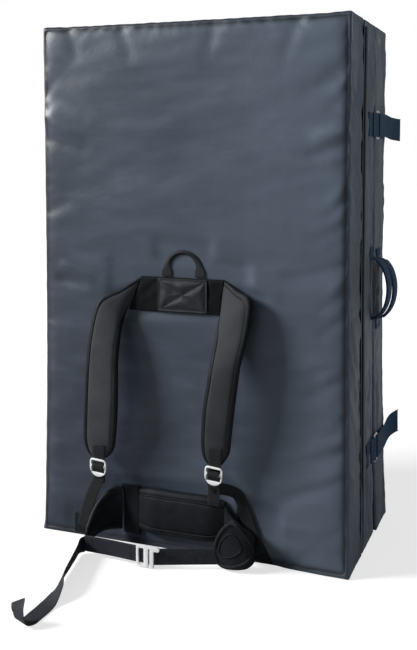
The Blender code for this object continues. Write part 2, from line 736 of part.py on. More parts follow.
def build_ladder_lock(name, top, across, down, front, parent):
    """A frame with a slim top bar, a middle bar and a broad rounded lip."""
    half = LOCK_WIDTH / 2
    inner = half - LOCK_RAIL
    high = LOCK_TOP_BAR + LOCK_TOP_SLOT
    low = high + LOCK_MIDDLE_BAR
    radii = (LOCK_TOP_CORNER, LOCK_TOP_CORNER, LOCK_LIP_CORNER, LOCK_LIP_CORNER)
    outlines = [rounded(box_corners(-half, half, 0, LOCK_HEIGHT), radii, 4)]
    for start, end in ((LOCK_TOP_BAR, high), (low, low + LOCK_LOW_SLOT)):
        outlines.append(rounded(box_corners(-inner, inner, start, end), [SLOT_CORNER] * 4, 2))
    return metal_plate(name, top, (across, down, front), outlines, LOCK_THICKNESS, parent)


def build_lower_anchors(parent):
    half = ANCHOR_LEFT_WIDTH / 2
    left = (ANCHOR_LEFT_X - half, ANCHOR_LEFT_X - half)
    right = (ANCHOR_LEFT_X + half, ANCHOR_LEFT_X + half)
    build_ply("left_lower_anchor", left, right, ANCHOR_BOTTOM, ANCHOR_BOTTOM + ANCHOR_LEFT_HEIGHT, FACE_GAP,
              HEAVY_WEBBING, HARNESS_FABRIC, parent, columns=2, rows=2)
    left = (ANCHOR_RIGHT_LEFT_LOW, ANCHOR_RIGHT_LEFT_HIGH)
    right = (ANCHOR_RIGHT_RIGHT_LOW, ANCHOR_RIGHT_RIGHT_HIGH)
    build_ply("right_lower_anchor", left, right, ANCHOR_BOTTOM, ANCHOR_BOTTOM + ANCHOR_RIGHT_HEIGHT,
              FACE_GAP,
              HEAVY_WEBBING, HARNESS_FABRIC, parent, columns=2, rows=2)


# Hip belt. Plan tables give how far from its root a fin has run, as a share of the panel's width,
# and how far out and how high its middle is, its height and its thickness, as shares of the belt's reach,
# the lumbar pad's top, the lumbar pad's height and the fin's thickness.

LEFT_FIN_SHARES = (
    (0.0000, 0.030, 0.600, 0.96, 0.80),
    (-0.0290, 0.110, 0.585, 0.93, 1.00),
    (-0.0530, 0.290, 0.540, 0.82, 1.00),
    (-0.0680, 0.520, 0.440, 0.64, 0.96),
    (-0.0710, 0.760, 0.300, 0.46, 0.84),
    (-0.0670, 0.880, 0.225, 0.38, 0.62),
)
RIGHT_FIN_SHARES = (
    (0.0000, 0.030, 0.560, 0.84, 0.80),
    (0.0435, 0.100, 0.420, 0.66, 0.96),
    (0.0865, 0.200, 0.380, 0.60, 0.96),
    (0.1065, 0.340, 0.380, 0.66, 0.96),
    (0.0885, 0.530, 0.410, 0.86, 1.00),
    (0.0475, 0.585, 0.430, 1.00, 1.00),
    (0.0125, 0.560, 0.350, 0.66, 0.92), (-0.0115, 0.540, 0.240, 0.40, 0.66),
)
LEFT_FIN_ROOT = LUMBAR_LEFT - SEAT_GAP - SLEEVE_WIDTH - FIN_ROOT_GAP
RIGHT_FIN_ROOT = LUMBAR_RIGHT + FIN_ROOT_GAP


def fin_knots(root, shares):
    places = []
    heights = []
    thicknesses = []
    for a, b, c, d, e in shares:
        place = on_face(root + a * PANEL_WIDTH, LUMBAR_BOTTOM, FACE_GAP + b * BELT_FRONT)
        places.append(Vector((place.x, place.y, c * LUMBAR_TOP)))
        heights.append(d * (LUMBAR_TOP - LUMBAR_BOTTOM))
        thicknesses.append(e * FIN_THICKNESS)
    return places, heights, thicknesses


def build_fin(name, root, shares, parent):
    places, heights, thicknesses = fin_knots(root, shares)
    steps = 2
    across = UP if places[1].x < places[0].x else -UP
    return padded(name, smooth_path(places, steps), between(heights, steps), between(thicknesses, steps),
                  HARNESS_FABRIC, parent, across=across)


def build_lumbar(parent):
    steps = 6
    middle = (LUMBAR_TOP + LUMBAR_BOTTOM) / 2
    path = [on_face(LUMBAR_LEFT + (LUMBAR_RIGHT - LUMBAR_LEFT) * n / steps, middle, FACE_GAP)
            for n in range(steps + 1)]
    height_shares = (0.90, 1.0, 1.0, 1.0, 1.0, 0.98, 0.84)
    thickness_shares = (0.55, 0.95, 1.0, 1.0, 1.0, 0.92, 0.45)
    heights = [(LUMBAR_TOP - LUMBAR_BOTTOM) * s for s in height_shares]
    thicknesses = [LUMBAR_THICKNESS * s for s in thickness_shares]
    padded("lumbar_pad", path, heights, thicknesses, HARNESS_FABRIC, parent, across=-UP)
    right = LUMBAR_LEFT - SEAT_GAP
    left = right - SLEEVE_WIDTH
    build_ply("belt_sleeve", (left, left), (right, right), SLEEVE_BOTTOM, SLEEVE_TOP, FACE_GAP,
              SLEEVE_THICKNESS,
              BLACK_WEBBING, parent, columns=2)


def belt_point(x, out, z):
    place = on_face(x, LUMBAR_BOTTOM, out)
    return Vector((place.x, place.y, z))


def build_hook(parent):
    """A flat hook buckle: a closed slot for the left webbing, and an open groove for the right one."""
    slot_left = HOOK_LEFT_BAR
    slot_right = slot_left + HOOK_SLOT
    groove_left = slot_right + HOOK_BODY
    groove_right = groove_left + HOOK_GROOVE
    bar_right = groove_right + HOOK_RIGHT_BAR
    horn_right = bar_right + HOOK_HORN
    low = HOOK_HEIGHT
    corners = ((0, 0), (horn_right, 0), (horn_right, HOOK_HORN_HEIGHT), (bar_right, HOOK_HORN_HEIGHT),
               (bar_right, low), (groove_right, low), (groove_right, HOOK_RAIL), (groove_left, HOOK_RAIL),
               (groove_left, low), (0, low))
    round_corner = HOOK_CORNER
    small = HOOK_SMALL_CORNER
    horn_round = HOOK_HORN_HEIGHT / 2 - small
    radii = (round_corner, horn_round, horn_round, small, round_corner, small,
             small, small, small, round_corner)
    outer = rounded([Vector((u, v, 0)) for u, v in corners], radii, 3)
    slot_corners = box_corners(slot_left, slot_right, HOOK_RAIL, HOOK_HEIGHT - HOOK_RAIL)
    slot = rounded(slot_corners, [SLOT_CORNER] * 4, 2)
    place = belt_point(HOOK_LEFT, BELT_FRONT, BELT_CENTRE_HEIGHT + HOOK_HEIGHT / 2)
    return metal_plate("hook_buckle", place, (Vector((1, 0, 0)), -UP, OUT), [outer, slot], HOOK_THICKNESS,
                       parent)


def build_belt(left_fin, parent):
    lap = FACE_GAP + SEAT_GAP + WEBBING / 2
    behind = BELT_FRONT - HOOK_THICKNESS / 2 - SEAT_GAP - WEBBING / 2
    tip, reach, *_ = LEFT_FIN_SHARES[-1]
    left_end = belt_point(LEFT_FIN_ROOT + tip * PANEL_WIDTH, reach * BELT_FRONT + lap, BELT_CENTRE_HEIGHT)
    swing = axis_empty("left_belt_axis", left_end, left_fin)
    at_bar = belt_point(HOOK_LEFT, behind, BELT_CENTRE_HEIGHT)
    end = belt_point(HOOK_LEFT + BELT_LAP, behind, BELT_CENTRE_HEIGHT)
    ribbon("left_belt_webbing", [left_end, (left_end + at_bar) / 2 - OUT * WEBBING, at_bar, end],
           BELT_WEBBING_WIDTH, WEBBING, BLACK_WEBBING, swing, across=UP)
    back_edge = belt_point(HOOK_LEFT, BELT_FRONT - HOOK_THICKNESS / 2, BELT_CENTRE_HEIGHT)
    hook_axis = axis_empty("hook_axis", back_edge, swing)
    build_hook(hook_axis)

    # The right webbing runs behind the hook's right bar, and its folded end stands in the groove
    tip, reach, *_ = RIGHT_FIN_SHARES[-1]
    right_end = belt_point(RIGHT_FIN_ROOT + tip * PANEL_WIDTH - SEAT_GAP, reach * BELT_FRONT + lap,
                           BELT_RIGHT_END_HEIGHT)
    right_axis = axis_empty("right_belt_axis", right_end, parent)
    groove = HOOK_LEFT + HOOK_LEFT_BAR + HOOK_SLOT + HOOK_BODY + HOOK_GROOVE / 2
    clear_of_bar = groove + HOOK_GROOVE / 2 + HOOK_RIGHT_BAR
    plies = ((clear_of_bar, behind), (groove + WEBBING, behind), (groove, behind + WEBBING),
             (groove, BELT_FRONT))
    folded = [belt_point(x, out, BELT_HOOKED_HEIGHT) for x, out in plies]
    ribbon("right_belt_webbing", [right_end, (right_end + folded[0]) / 2, *folded], BELT_WEBBING_WIDTH,
           WEBBING,
           BLACK_WEBBING, right_axis, across=UP)


# Closures: a webbing anchor holds a metal ring, and a strap from the next panel passes through it

def build_closure(name, z, turn, parents, gap, tail_length, tail_lift):
    """Turn is 1 on the right side. At the left the same pieces are turned half round the pad."""
    anchor_parent, strap_parent = parents
    side_x = HALF_WIDTH - side_draw(z)
    edge = HALF_THICKNESS
    wire = RING_WIRE / 2
    centre = SEAT_GAP + WEBBING + SEAT_GAP + wire
    front_bar = edge - RING_DEPTH / 2
    back_bar = edge + RING_DEPTH / 2

    def place(out, y):
        return Vector((turn * (side_x + out), turn * y, z))

    def turned(bar_y, heading):
        """Points round a bar, from the panel's side to the outside."""
        radius = wire + SEAT_GAP + WEBBING / 2
        steps = 6
        return [place(centre - math.cos(math.pi * n / steps) * radius,
                      bar_y + heading * math.sin(math.pi * n / steps) * radius) for n in range(steps + 1)]

    flat = SEAT_GAP + WEBBING / 2
    outer = centre + wire + SEAT_GAP + WEBBING / 2
    lap = flat + WEBBING + SEAT_GAP
    bend = CLOSURE_ANCHOR_LAP / 2
    start = front_bar - CLOSURE_ANCHOR_LENGTH
    path = [place(flat, start), place(flat, front_bar - bend), *turned(front_bar, 1),
            place((outer + lap) / 2, front_bar - bend / 2), place(lap, front_bar - bend),
            place(lap, front_bar - CLOSURE_ANCHOR_LAP)]
    ribbon(f"{name}_anchor", path, CLOSURE_WEBBING_WIDTH, WEBBING, NAVY_WEBBING, anchor_parent, across=UP)

    ring_axis = axis_empty(f"{name}_ring_axis", place(centre, front_bar), anchor_parent)
    half = CLOSURE_WEBBING_WIDTH / 2 + SEAT_GAP + RING_CORNER
    corners = ((front_bar, -half), (back_bar, -half), (back_bar, half), (front_bar, half))
    build_ring(f"{name}_ring", [place(centre, y) + UP * rise for y, rise in corners], ring_axis)

    end = back_bar + CLOSURE_STRAP_START + gap - BACK_FOLD_GAP
    path = [place(flat, end), place(flat, back_bar + bend), *turned(back_bar, -1),
            place(outer, back_bar + bend), place(outer, back_bar + tail_length * CLOSURE_TAIL_FLAT_SHARE),
            place(outer + tail_lift * CLOSURE_TAIL_BEND_SHARE,
                  back_bar + tail_length * CLOSURE_TAIL_BEND_AT_SHARE),
            place(outer + tail_lift, back_bar + tail_length)]
    ribbon(f"{name}_strap", path, CLOSURE_WEBBING_WIDTH, WEBBING, NAVY_WEBBING, strap_parent, across=UP)


def build_ring(name, corners, parent):
    """A welded wire ring: a round section carried along a rectangle with rounded corners."""
    path = rounded(corners, [RING_CORNER] * 4, 2)
    sides = 8
    angles = [math.tau * n / sides for n in range(sides)]
    rings = []
    for place, (side, normal) in zip(path, frames(path, outward=Vector((1, 0, 0)), closed=True)):
        rings.append([place + (side * math.cos(a) + normal * math.sin(a)) * (RING_WIRE / 2) for a in angles])
    return loft(name, rings, BRIGHT_METAL, parent, smooth=True, closed=True)


def build_handle(name, y, z, parent):
    """A webbing handle: both feet sewn flat on the side, bowed out between them."""
    flat = SEAT_GAP + WEBBING / 2
    low = z - HANDLE_CHORD / 2
    high = z + HANDLE_CHORD / 2
    turns = 12
    path = [on_right_side(y, low - HANDLE_FOOT, flat)]
    for turn in range(turns + 1):
        angle = math.pi * turn / turns
        height = z - HANDLE_CHORD / 2 * math.cos(angle)
        path.append(on_right_side(y, height, flat + HANDLE_BOW * math.sin(angle)))
    path.append(on_right_side(y, high + HANDLE_FOOT, flat))
    return ribbon(name, path, HANDLE_WEBBING_WIDTH, WEBBING, NAVY_WEBBING, parent, across=ALONG_Y)


# Belt tail: the spare end of the left belt webbing, which comes out beside the left fin's tip and lies on
# the ground in front of the pad. Its table gives x from the left fin's root as a share of the panel's width,
# distance from the harness face as a share of the tail's reach, height as a share of the webbing's width,
# and how far it has turned from standing on its edge to lying flat.

TAIL_SHARES = (
    (-0.2898, 0.2140, 0.62, 0.00),
    (-0.2975, 0.247, 0.62, 0.10),
    (-0.2850, 0.325, 0.59, 0.18),
    (-0.2650, 0.460, 0.57, 0.25),
    (-0.2430, 0.608, 0.56, 0.35), (-0.2300, 0.690, 0.40, 0.70), (-0.2260, 0.787, 0.090, 1.0),
    (-0.2260, 0.894, 0.060, 1.0), (-0.2280, 0.955, 0.075, 1.0), (-0.2340, 1.000, 0.30, 1.0),
    (-0.2420, 1.000, 0.85, 1.0), (-0.2500, 0.975, 1.25, 1.0),
)
TAIL_FLAT_SIDE = Vector((0.90, -0.42, 0)).normalized()


def build_belt_tail(parent):
    knots = []
    turns = []
    for a, b, c, turn in TAIL_SHARES:
        place = on_face(a * PANEL_WIDTH, LUMBAR_BOTTOM, b * TAIL_REACH)
        knots.append(Vector((place.x, place.y, c * BELT_WEBBING_WIDTH)))
        turns.append(turn * math.pi / 2)
    steps = 3
    path = smooth_path(knots, steps)
    angles = between(turns, steps)
    rings = []
    for place, tangent, angle in zip(path, tangents(path), angles):
        side = UP * math.cos(angle) + TAIL_FLAT_SIDE * math.sin(angle)
        side = (side - side.dot(tangent) * tangent).normalized()
        half = side * (BELT_WEBBING_WIDTH / 2)
        ply = tangent.cross(side) * (WEBBING / 2)
        rings.append([place - half - ply, place + half - ply, place + half + ply, place - half + ply])
    return loft("belt_tail", rings, BLACK_WEBBING, parent)


# Assembly

front_axis = axis_empty("front_fold_axis", (HALF_WIDTH + FOLD_AXIS_OUT, FRONT_FOLD_Y, 0))
back_axis = axis_empty("back_fold_axis", (-HALF_WIDTH - FOLD_AXIS_OUT, BACK_FOLD_Y, 0))
build_panel("front", FRONT_Y, 1, front_axis)
build_panel("middle", 0, -1, None)
build_panel("back", BACK_Y, 1, back_axis)
build_hinge("front_hinge_fabric", 1, FRONT_FOLD_Y, FRONT_FOLD_GAP, None)
build_hinge("back_hinge_fabric", -1, BACK_FOLD_Y, BACK_FOLD_GAP, None)

build_yoke(front_axis)
build_haul_loop(front_axis)
build_shoulder_strap("left", LEFT_STRAP_SHARES, LEFT_ADJUSTER_SHARES, LEFT_FREE_END_SHARE, front_axis)
build_shoulder_strap("right", RIGHT_STRAP_SHARES, RIGHT_ADJUSTER_SHARES, RIGHT_FREE_END_SHARE, front_axis)
build_lower_anchors(front_axis)

build_lumbar(front_axis)
left_fin_axis = axis_empty("left_fin_axis", on_face(LEFT_FIN_ROOT, LUMBAR_BOTTOM, FIN_HINGE_OUT), front_axis)
right_fin_place = on_face(RIGHT_FIN_ROOT, LUMBAR_BOTTOM, FIN_HINGE_OUT)
right_fin_axis = axis_empty("right_fin_axis", right_fin_place, front_axis)
build_fin("left_hip_fin", LEFT_FIN_ROOT, LEFT_FIN_SHARES, left_fin_axis)
build_fin("right_hip_fin", RIGHT_FIN_ROOT, RIGHT_FIN_SHARES, right_fin_axis)
build_belt(left_fin_axis, right_fin_axis)
build_belt_tail(left_fin_axis)

for level, closure_z in (("upper", CLOSURE_UPPER_Z), ("lower", CLOSURE_LOWER_Z)):
    build_closure(f"right_{level}_closure", closure_z, 1, (None, back_axis), BACK_FOLD_GAP,
                  CLOSURE_RIGHT_TAIL,
                  CLOSURE_TAIL_LIFT)
    build_closure(f"left_{level}_closure", closure_z, -1, (None, front_axis), FRONT_FOLD_GAP,
                  CLOSURE_LEFT_TAIL, 0)
build_handle("middle_handle", HALF_THICKNESS - HANDLE_FROM_FOLD, HANDLE_MIDDLE_Z, None)
build_handle("back_handle", HALF_THICKNESS + BACK_FOLD_GAP + HANDLE_FROM_FOLD, HANDLE_BACK_Z, back_axis)
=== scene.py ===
# %% [markdown]
# # A folding bouldering pad with its carrying harness
#
# The pad is three foam panels in coated fabric, folded like a Z and standing on their short ends.
# The CAD model gives every size and place, and this lesson dresses it for the camera: covers with
# creases, webbings with ribs, metal with rounded edges.
# Each step first says what the piece is on the real pad, and then how it is made and why.

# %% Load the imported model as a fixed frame
import math

import bmesh
import bpy
import numpy as np
from mathutils import Matrix, Vector, noise


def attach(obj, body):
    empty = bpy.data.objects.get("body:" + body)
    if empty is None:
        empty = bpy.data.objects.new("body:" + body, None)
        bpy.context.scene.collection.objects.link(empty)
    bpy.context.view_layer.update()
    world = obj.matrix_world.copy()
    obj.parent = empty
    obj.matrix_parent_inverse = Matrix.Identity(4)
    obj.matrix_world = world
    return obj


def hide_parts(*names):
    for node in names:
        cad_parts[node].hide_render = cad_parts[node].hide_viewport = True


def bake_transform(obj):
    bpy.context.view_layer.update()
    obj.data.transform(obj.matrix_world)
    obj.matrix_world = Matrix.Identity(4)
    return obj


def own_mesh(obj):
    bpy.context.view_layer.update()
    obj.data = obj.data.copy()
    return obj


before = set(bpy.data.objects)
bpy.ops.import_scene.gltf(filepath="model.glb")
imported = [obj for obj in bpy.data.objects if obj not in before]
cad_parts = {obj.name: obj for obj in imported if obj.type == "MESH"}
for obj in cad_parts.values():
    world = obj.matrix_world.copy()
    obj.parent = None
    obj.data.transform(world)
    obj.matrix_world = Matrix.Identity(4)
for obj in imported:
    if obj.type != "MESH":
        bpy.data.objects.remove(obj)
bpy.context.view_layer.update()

# %% [markdown]
# ## Camera
#
# The photograph was taken from the pad's right and from about chest height, with level lens.
# The camera's place comes from matching the pad's corners, so it is written down as found.
# A small downward shift keeps the upright edges upright, as the photographer's crop did.

# %% Camera
PHOTO_HEIGHT = 650
FOCAL_PIXELS = 927
SENSOR = 36.0
CAMERA_PLACE = (0.717, -1.931, 0.828)
CAMERA_TURN = tuple(math.radians(a) for a in (90 - 2.58, 0.04, 20.99))
CAMERA_SHIFT_DOWN = -0.2

bpy.ops.object.camera_add(location=CAMERA_PLACE, rotation=CAMERA_TURN)
camera = bpy.context.object
camera.name = "photo_camera"
camera.data.sensor_width = SENSOR
camera.data.lens = FOCAL_PIXELS * SENSOR / PHOTO_HEIGHT
camera.data.shift_y = CAMERA_SHIFT_DOWN
camera.data.dof.use_dof = False
bpy.context.scene.camera = camera
bpy.context.scene.view_settings.view_transform = "Standard"
print("lens", round(camera.data.lens, 2), "mm")

# %% [markdown]
# ## Shader arithmetic
#
# A material is a small graph of nodes. Writing the graph as ordinary sums is easier to read than a
# picture of wires: `Field` wraps one output, and adding or multiplying two fields adds a Math node.

# %% Fields and finishes
class Field:
    """A value that varies over a surface, as one output socket of a material's node graph."""

    def __init__(self, finish, socket):
        self.finish = finish
        self.socket = socket

    def _math(self, operation, a, b=None, clamp=False):
        settings = {"operation": operation, "use_clamp": clamp}
        return self.finish.node("ShaderNodeMath", settings, {0: a} if b is None else {0: a, 1: b})

    def __add__(self, other):
        return self._math("ADD", self, other)

    __radd__ = __add__

    def __sub__(self, other):
        return self._math("SUBTRACT", self, other)

    def __rsub__(self, other):
        return self._math("SUBTRACT", other, self)

    def __mul__(self, other):
        return self._math("MULTIPLY", self, other)

    __rmul__ = __mul__

    def __pow__(self, other):
        return self._math("POWER", self, other)

    def wave(self):
        """The sine of the field, from 0 to 1."""
        return self._math("SINE", self) * 0.5 + 0.5

    def above(self, edge):
        return self._math("GREATER_THAN", self, edge)

    def most(self, other):
        return self._math("MAXIMUM", self, other)

    def held(self):
        """The field kept between 0 and 1."""
        return self._math("MULTIPLY", self, 1.0, clamp=True)


class Finish:
    """A material with one Principled shader, and the nodes that feed it."""

    def __init__(self, name, roughness=0.5, metallic=0.0, **constants):
        self.material = bpy.data.materials.new(name)
        self.material.use_nodes = True
        self.tree = self.material.node_tree
        self.shader = self.tree.nodes["Principled BSDF"]
        self.shader.inputs["Roughness"].default_value = roughness
        self.shader.inputs["Metallic"].default_value = metallic
        for socket, value in constants.items():
            self.shader.inputs[socket.replace("_", " ")].default_value = value

    def put(self, socket, value):
        if isinstance(value, Field):
            self.tree.links.new(value.socket, socket)
        else:
            socket.default_value = value

    def node(self, kind, settings=None, sockets=None, out=0):
        made = self.tree.nodes.new(kind)
        for setting, value in (settings or {}).items():
            setattr(made, setting, value)
        for socket, value in (sockets or {}).items():
            self.put(made.inputs[socket], value)
        return Field(self, made.outputs[out])

    def place(self, stretch=(1, 1, 1), turn=(0, 0, 0), uv=False):
        """Object coordinates, or the piece's own UV map, stretched and turned."""
        at = self.node("ShaderNodeTexCoord", out="UV" if uv else "Object")
        return self.node("ShaderNodeMapping", None, {"Vector": at, "Rotation": turn, "Scale": stretch})

    def noise(self, scale, detail=2.0, **where):
        return self.node("ShaderNodeTexNoise", None,
                         {"Vector": self.place(**where), "Scale": scale, "Detail": detail}, out="Fac")

    def axis(self, letter, **where):
        """One coordinate by itself."""
        return self.node("ShaderNodeSeparateXYZ", None, {0: self.place(**where)}, out=letter)

    def attribute(self, name):
        """A value that the piece carries at its own points."""
        return self.node("ShaderNodeAttribute", {"attribute_name": name}, out="Fac")

    def mix(self, amount, low, high):
        """A colour between two others."""
        low, high = ((*c, 1) if isinstance(c, tuple) else c for c in (low, high))
        return self.node("ShaderNodeMix", {"data_type": "RGBA"}, {0: amount, 6: low, 7: high}, out=2)

    def colour(self, value):
        self.put(self.shader.inputs["Base Color"], (*value, 1) if isinstance(value, tuple) else value)

    def roughness(self, value):
        self.put(self.shader.inputs["Roughness"], value)

    def bump(self, height, depth, strength=1.0):
        """Raises and lowers the surface in the shading by depth metres."""
        made = self.node("ShaderNodeBump", None, {"Height": height, "Distance": depth, "Strength": strength})
        self.put(self.shader.inputs["Normal"], made)
        return self


def plain_colour(red, green, blue):
    """A colour as it is read from a picture, 0 to 255, turned into the linear values that light uses."""
    share = [c / 255 for c in (red, green, blue)]
    return tuple(round(c / 12.92 if c <= 0.04045 else ((c + 0.055) / 1.055) ** 2.4, 5) for c in share)


print("slate in linear light", plain_colour(74, 82, 93))

# %% [markdown]
# ## Floor and light
#
# The product was photographed on white. The floor is pale, and only what the camera sees of it is
# lifted to white, so that no extra light reaches the pad and its shadow stays.
# The key lamp stands far to the left, so that the straps throw wide soft shadows to their right and each
# wave of the fabric shows. A weaker lamp in front gives the coating its sheen, and one fills the right side.

# %% Floor, world and lamps
FLOOR_SIZE = 40
FLOOR_GREY = 0.42
FLOOR_LIFT = 0.68
WORLD_LEVEL = 0.12


def seen_directly(finish):
    """1 for rays from the camera, and 0 for light that falls on things or mirrors in them."""
    return finish.node("ShaderNodeLightPath", out="Is Camera Ray")


bpy.ops.mesh.primitive_plane_add(size=FLOOR_SIZE, location=(0, 0, 0))
floor = bpy.context.object
floor.name = "floor"
pale = Finish("pale_floor", roughness=0.9, Emission_Strength=1.0)
pale.colour((FLOOR_GREY, FLOOR_GREY, FLOOR_GREY))
east, north = pale.axis("X"), pale.axis("Y")
away = (((east * east + north * north) ** 0.5 - 0.9) * 0.45).held()
lift = pale.mix(away, (FLOOR_LIFT, FLOOR_LIFT, FLOOR_LIFT), (1.0, 1.0, 1.0))
pale.put(pale.shader.inputs["Emission Color"], pale.mix(seen_directly(pale), (0.0, 0.0, 0.0), lift))
floor.data.materials.append(pale.material)

world = bpy.data.worlds.new("studio")
bpy.context.scene.world = world
world.use_nodes = True
sky = Finish.__new__(Finish)
sky.tree = world.node_tree
backdrop = sky.tree.nodes["Background"]
sky.put(backdrop.inputs["Strength"], seen_directly(sky) * (1 - WORLD_LEVEL) + WORLD_LEVEL)
backdrop.inputs["Color"].default_value = (1, 1, 1, 1)

for lamp_name, lamp_place, aim, side, power in (
    ("key_softbox", (-4.6, -2.5, 3.2), (0.0, -0.1, 0.60), 1.5, 540),
    ("front_softbox", (-0.2, -3.9, 1.9), (0.1, -0.1, 0.60), 2.2, 6),
    ("fill_softbox", (3.1, 0.9, 1.8), (0.34, 0.0, 0.6), 1.0, 25),
):
    bpy.ops.object.light_add(type="AREA", location=lamp_place)
    lamp = bpy.context.object
    lamp.name = lamp_name
    lamp.rotation_euler = (Vector(aim) - Vector(lamp_place)).to_track_quat("-Z", "Y").to_euler()
    lamp.data.size = side
    lamp.data.energy = power

# %% [markdown]
# ## Tools for modelling by hand
#
# Every new piece starts as a primitive and is then shaped in edit mode. Two small helpers pick faces
# and edges by where they lie, because there is no mouse here, and another one ends each piece the same way.

# %% Picking, finishing and joining
def start_clean():
    """Leaves edit mode and deselects everything, because an operator acts on all that is selected."""
    if bpy.context.object and bpy.context.object.mode != "OBJECT":
        bpy.ops.object.mode_set(mode="OBJECT")
    bpy.ops.object.select_all(action="DESELECT")


def pick(kind, test):
    """In edit mode, selects only the faces or edges that pass the test."""
    mesh = bpy.context.object.data
    shell = bmesh.from_edit_mesh(mesh)
    bpy.ops.mesh.select_mode(type="FACE" if kind == "faces" else "EDGE")
    bpy.ops.mesh.select_all(action="DESELECT")
    for part in getattr(shell, kind):
        if test(part):
            part.select_set(True)
    bmesh.update_edit_mesh(mesh)


def runs_along(axis, shortest):
    """A test for edges that run along one axis and are longer than a given length."""
    def test(edge):
        span = edge.verts[1].co - edge.verts[0].co
        return abs(span[axis]) > max(shortest, 0.99 * span.length)
    return test


def points_of(piece):
    """The piece's points as rows of x, y and z."""
    flat = np.zeros(len(piece.data.vertices) * 3)
    piece.data.vertices.foreach_get("co", flat)
    return flat.reshape(-1, 3)


def move_points(piece, points):
    piece.data.vertices.foreach_set("co", np.asarray(points, float).ravel())
    piece.data.update()


def modify(piece, kind, **settings):
    """Adds a modifier and applies it at once."""
    bpy.context.view_layer.objects.active = piece
    made = piece.modifiers.new(kind.lower(), kind)
    for setting, value in settings.items():
        setattr(made, setting, value)
    bpy.ops.object.modifier_apply(modifier=made.name)
    return piece


def face_outwards(piece):
    bpy.context.view_layer.objects.active = piece
    bpy.ops.object.mode_set(mode="EDIT")
    bpy.ops.mesh.select_all(action="SELECT")
    bpy.ops.mesh.normals_make_consistent(inside=False)
    bpy.ops.object.mode_set(mode="OBJECT")


def settle(piece, name, finishes, body, nodes=(), smooth=math.radians(40)):
    """Names a finished piece, gives it its materials and lets it ride on its body for its CAD nodes."""
    start_clean()
    piece.name = piece.data.name = name
    piece.select_set(True)
    bpy.context.view_layer.objects.active = piece
    bpy.ops.object.transform_apply(location=True, rotation=True, scale=True)
    if smooth:
        bpy.ops.object.shade_smooth_by_angle(angle=smooth)
    for finish in finishes if isinstance(finishes, (list, tuple)) else [finishes]:
        piece.data.materials.append(finish.material)
    if body:
        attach(piece, body)
    if nodes:
        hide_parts(*nodes)
    return piece


print("helpers ready")

# %% [markdown]
# ## Coated fabric
#
# The covers are heavy nylon with a smooth coating, slate with a blue cast. It has a faint weave that
# shows only from close by, a soft sheen, and lighter scuffs near the ground.
# A noise of several sizes changes the colour a little, and the same noise makes the gloss uneven.
# Light and shade are also painted into the colour. Painted light falls towards the right and the top and on
# upright streaks of the narrow sides, and painted shade falls along the seams, the rims, the top and the
# sides towards the folds.

# %% The covers' finish
SLATE = plain_colour(84, 96, 110)
SLATE_DARK = plain_colour(46, 53, 66)
SLATE_SCUFF = plain_colour(112, 120, 130)
# Painted shade and painted light: the darker colour for seams, rims, the top and the sides towards the folds,
# the lighter one for lit fold ridges on the narrow sides.
SHADOWED = plain_colour(24, 25, 29)
PAINTED_SIDE_LIGHT = plain_colour(128, 132, 144)
WEAVE_STEP = 0.0009


def coated_fabric(name, base, dark, scuff):
    """The covers' fabric. The attributes seam and shade mark its painted shade and painted light."""
    cloth = Finish(name, roughness=0.42, Coat_Roughness=0.28, Sheen_Weight=0.02, Specular_IOR_Level=0.32)
    cloud = cloth.noise(3.0, detail=4.0)
    streak = cloth.noise(9.0, detail=3.0, stretch=(1, 1, 4))
    upright = cloth.noise(30.0, detail=3.0, stretch=(1, 1, 0.12))
    worn = (cloth.noise(38.0, detail=6.0) - 0.60).held() * 2.2
    low = (0.06 - cloth.axis("Z")).held() * 9
    seam, shade = cloth.attribute("seam"), cloth.attribute("shade")
    # Painted light: the colour grows lighter towards +x and the top, where the face is lit more.
    east = (cloth.axis("X") * 1.2 + cloth.axis("Z") * 0.30 + 0.20).held()
    tone = cloth.mix((cloud * 0.8 + east - 0.40).held(), dark, base)
    tone = cloth.mix((streak - 0.45).held() * 0.6, tone, tuple(1.25 * c for c in base))
    tone = cloth.mix((worn * (low + 0.10)).held(), tone, scuff)
    # Painted light where shade is below 0: upright streaks on the narrow sides for the lit ridges of their
    # folds.
    tone = cloth.mix(((0 - shade) * (upright * 4 - 1.5)).held(), tone, PAINTED_SIDE_LIGHT)
    # Painted shade where shade is above 0, and along the seam groove.
    tone = cloth.mix((shade * (1.25 - streak * 0.5)).held(), tone, SHADOWED)
    cloth.colour(cloth.mix((seam * 0.9).held(), tone, SHADOWED))
    cloth.roughness(cloud * 0.14 + streak * 0.12 + 0.30)
    turns = math.tau / WEAVE_STEP
    weave = ((cloth.axis("X") * turns).wave() + (cloth.axis("Z") * turns).wave()
             + (cloth.axis("Y") * turns).wave())
    fine = weave * 0.15 + cloth.noise(260.0, detail=3.0) + cloth.noise(45.0, detail=4.0) * 1.5
    fine = fine + cloth.noise(17.0, detail=4.0) * 5.0
    cloth.put(cloth.shader.inputs["Coat Weight"], cloud * 0.12 + 0.06)
    return cloth.bump(fine, 0.0004, 0.45)


cover_fabric = coated_fabric("coated_cover_fabric", SLATE, SLATE_DARK, SLATE_SCUFF)
print("cover fabric:", len(cover_fabric.tree.nodes), "nodes")

# %% [markdown]
# ## Covers
#
# Each cover is a boxed cushion: two big faces sewn to a boxing strip, with the seam just inside the edge.
# A cube is bevelled, its big faces are inset three times for the seam, and its long edges are subdivided
# into a fine grid. Then a cloth simulation blows it up a little inside its seams, as foam does,
# and the swell is capped at a few millimetres. Neighbouring covers cross a little in the folds, out of sight.
# All three covers are the same form, so one is made.

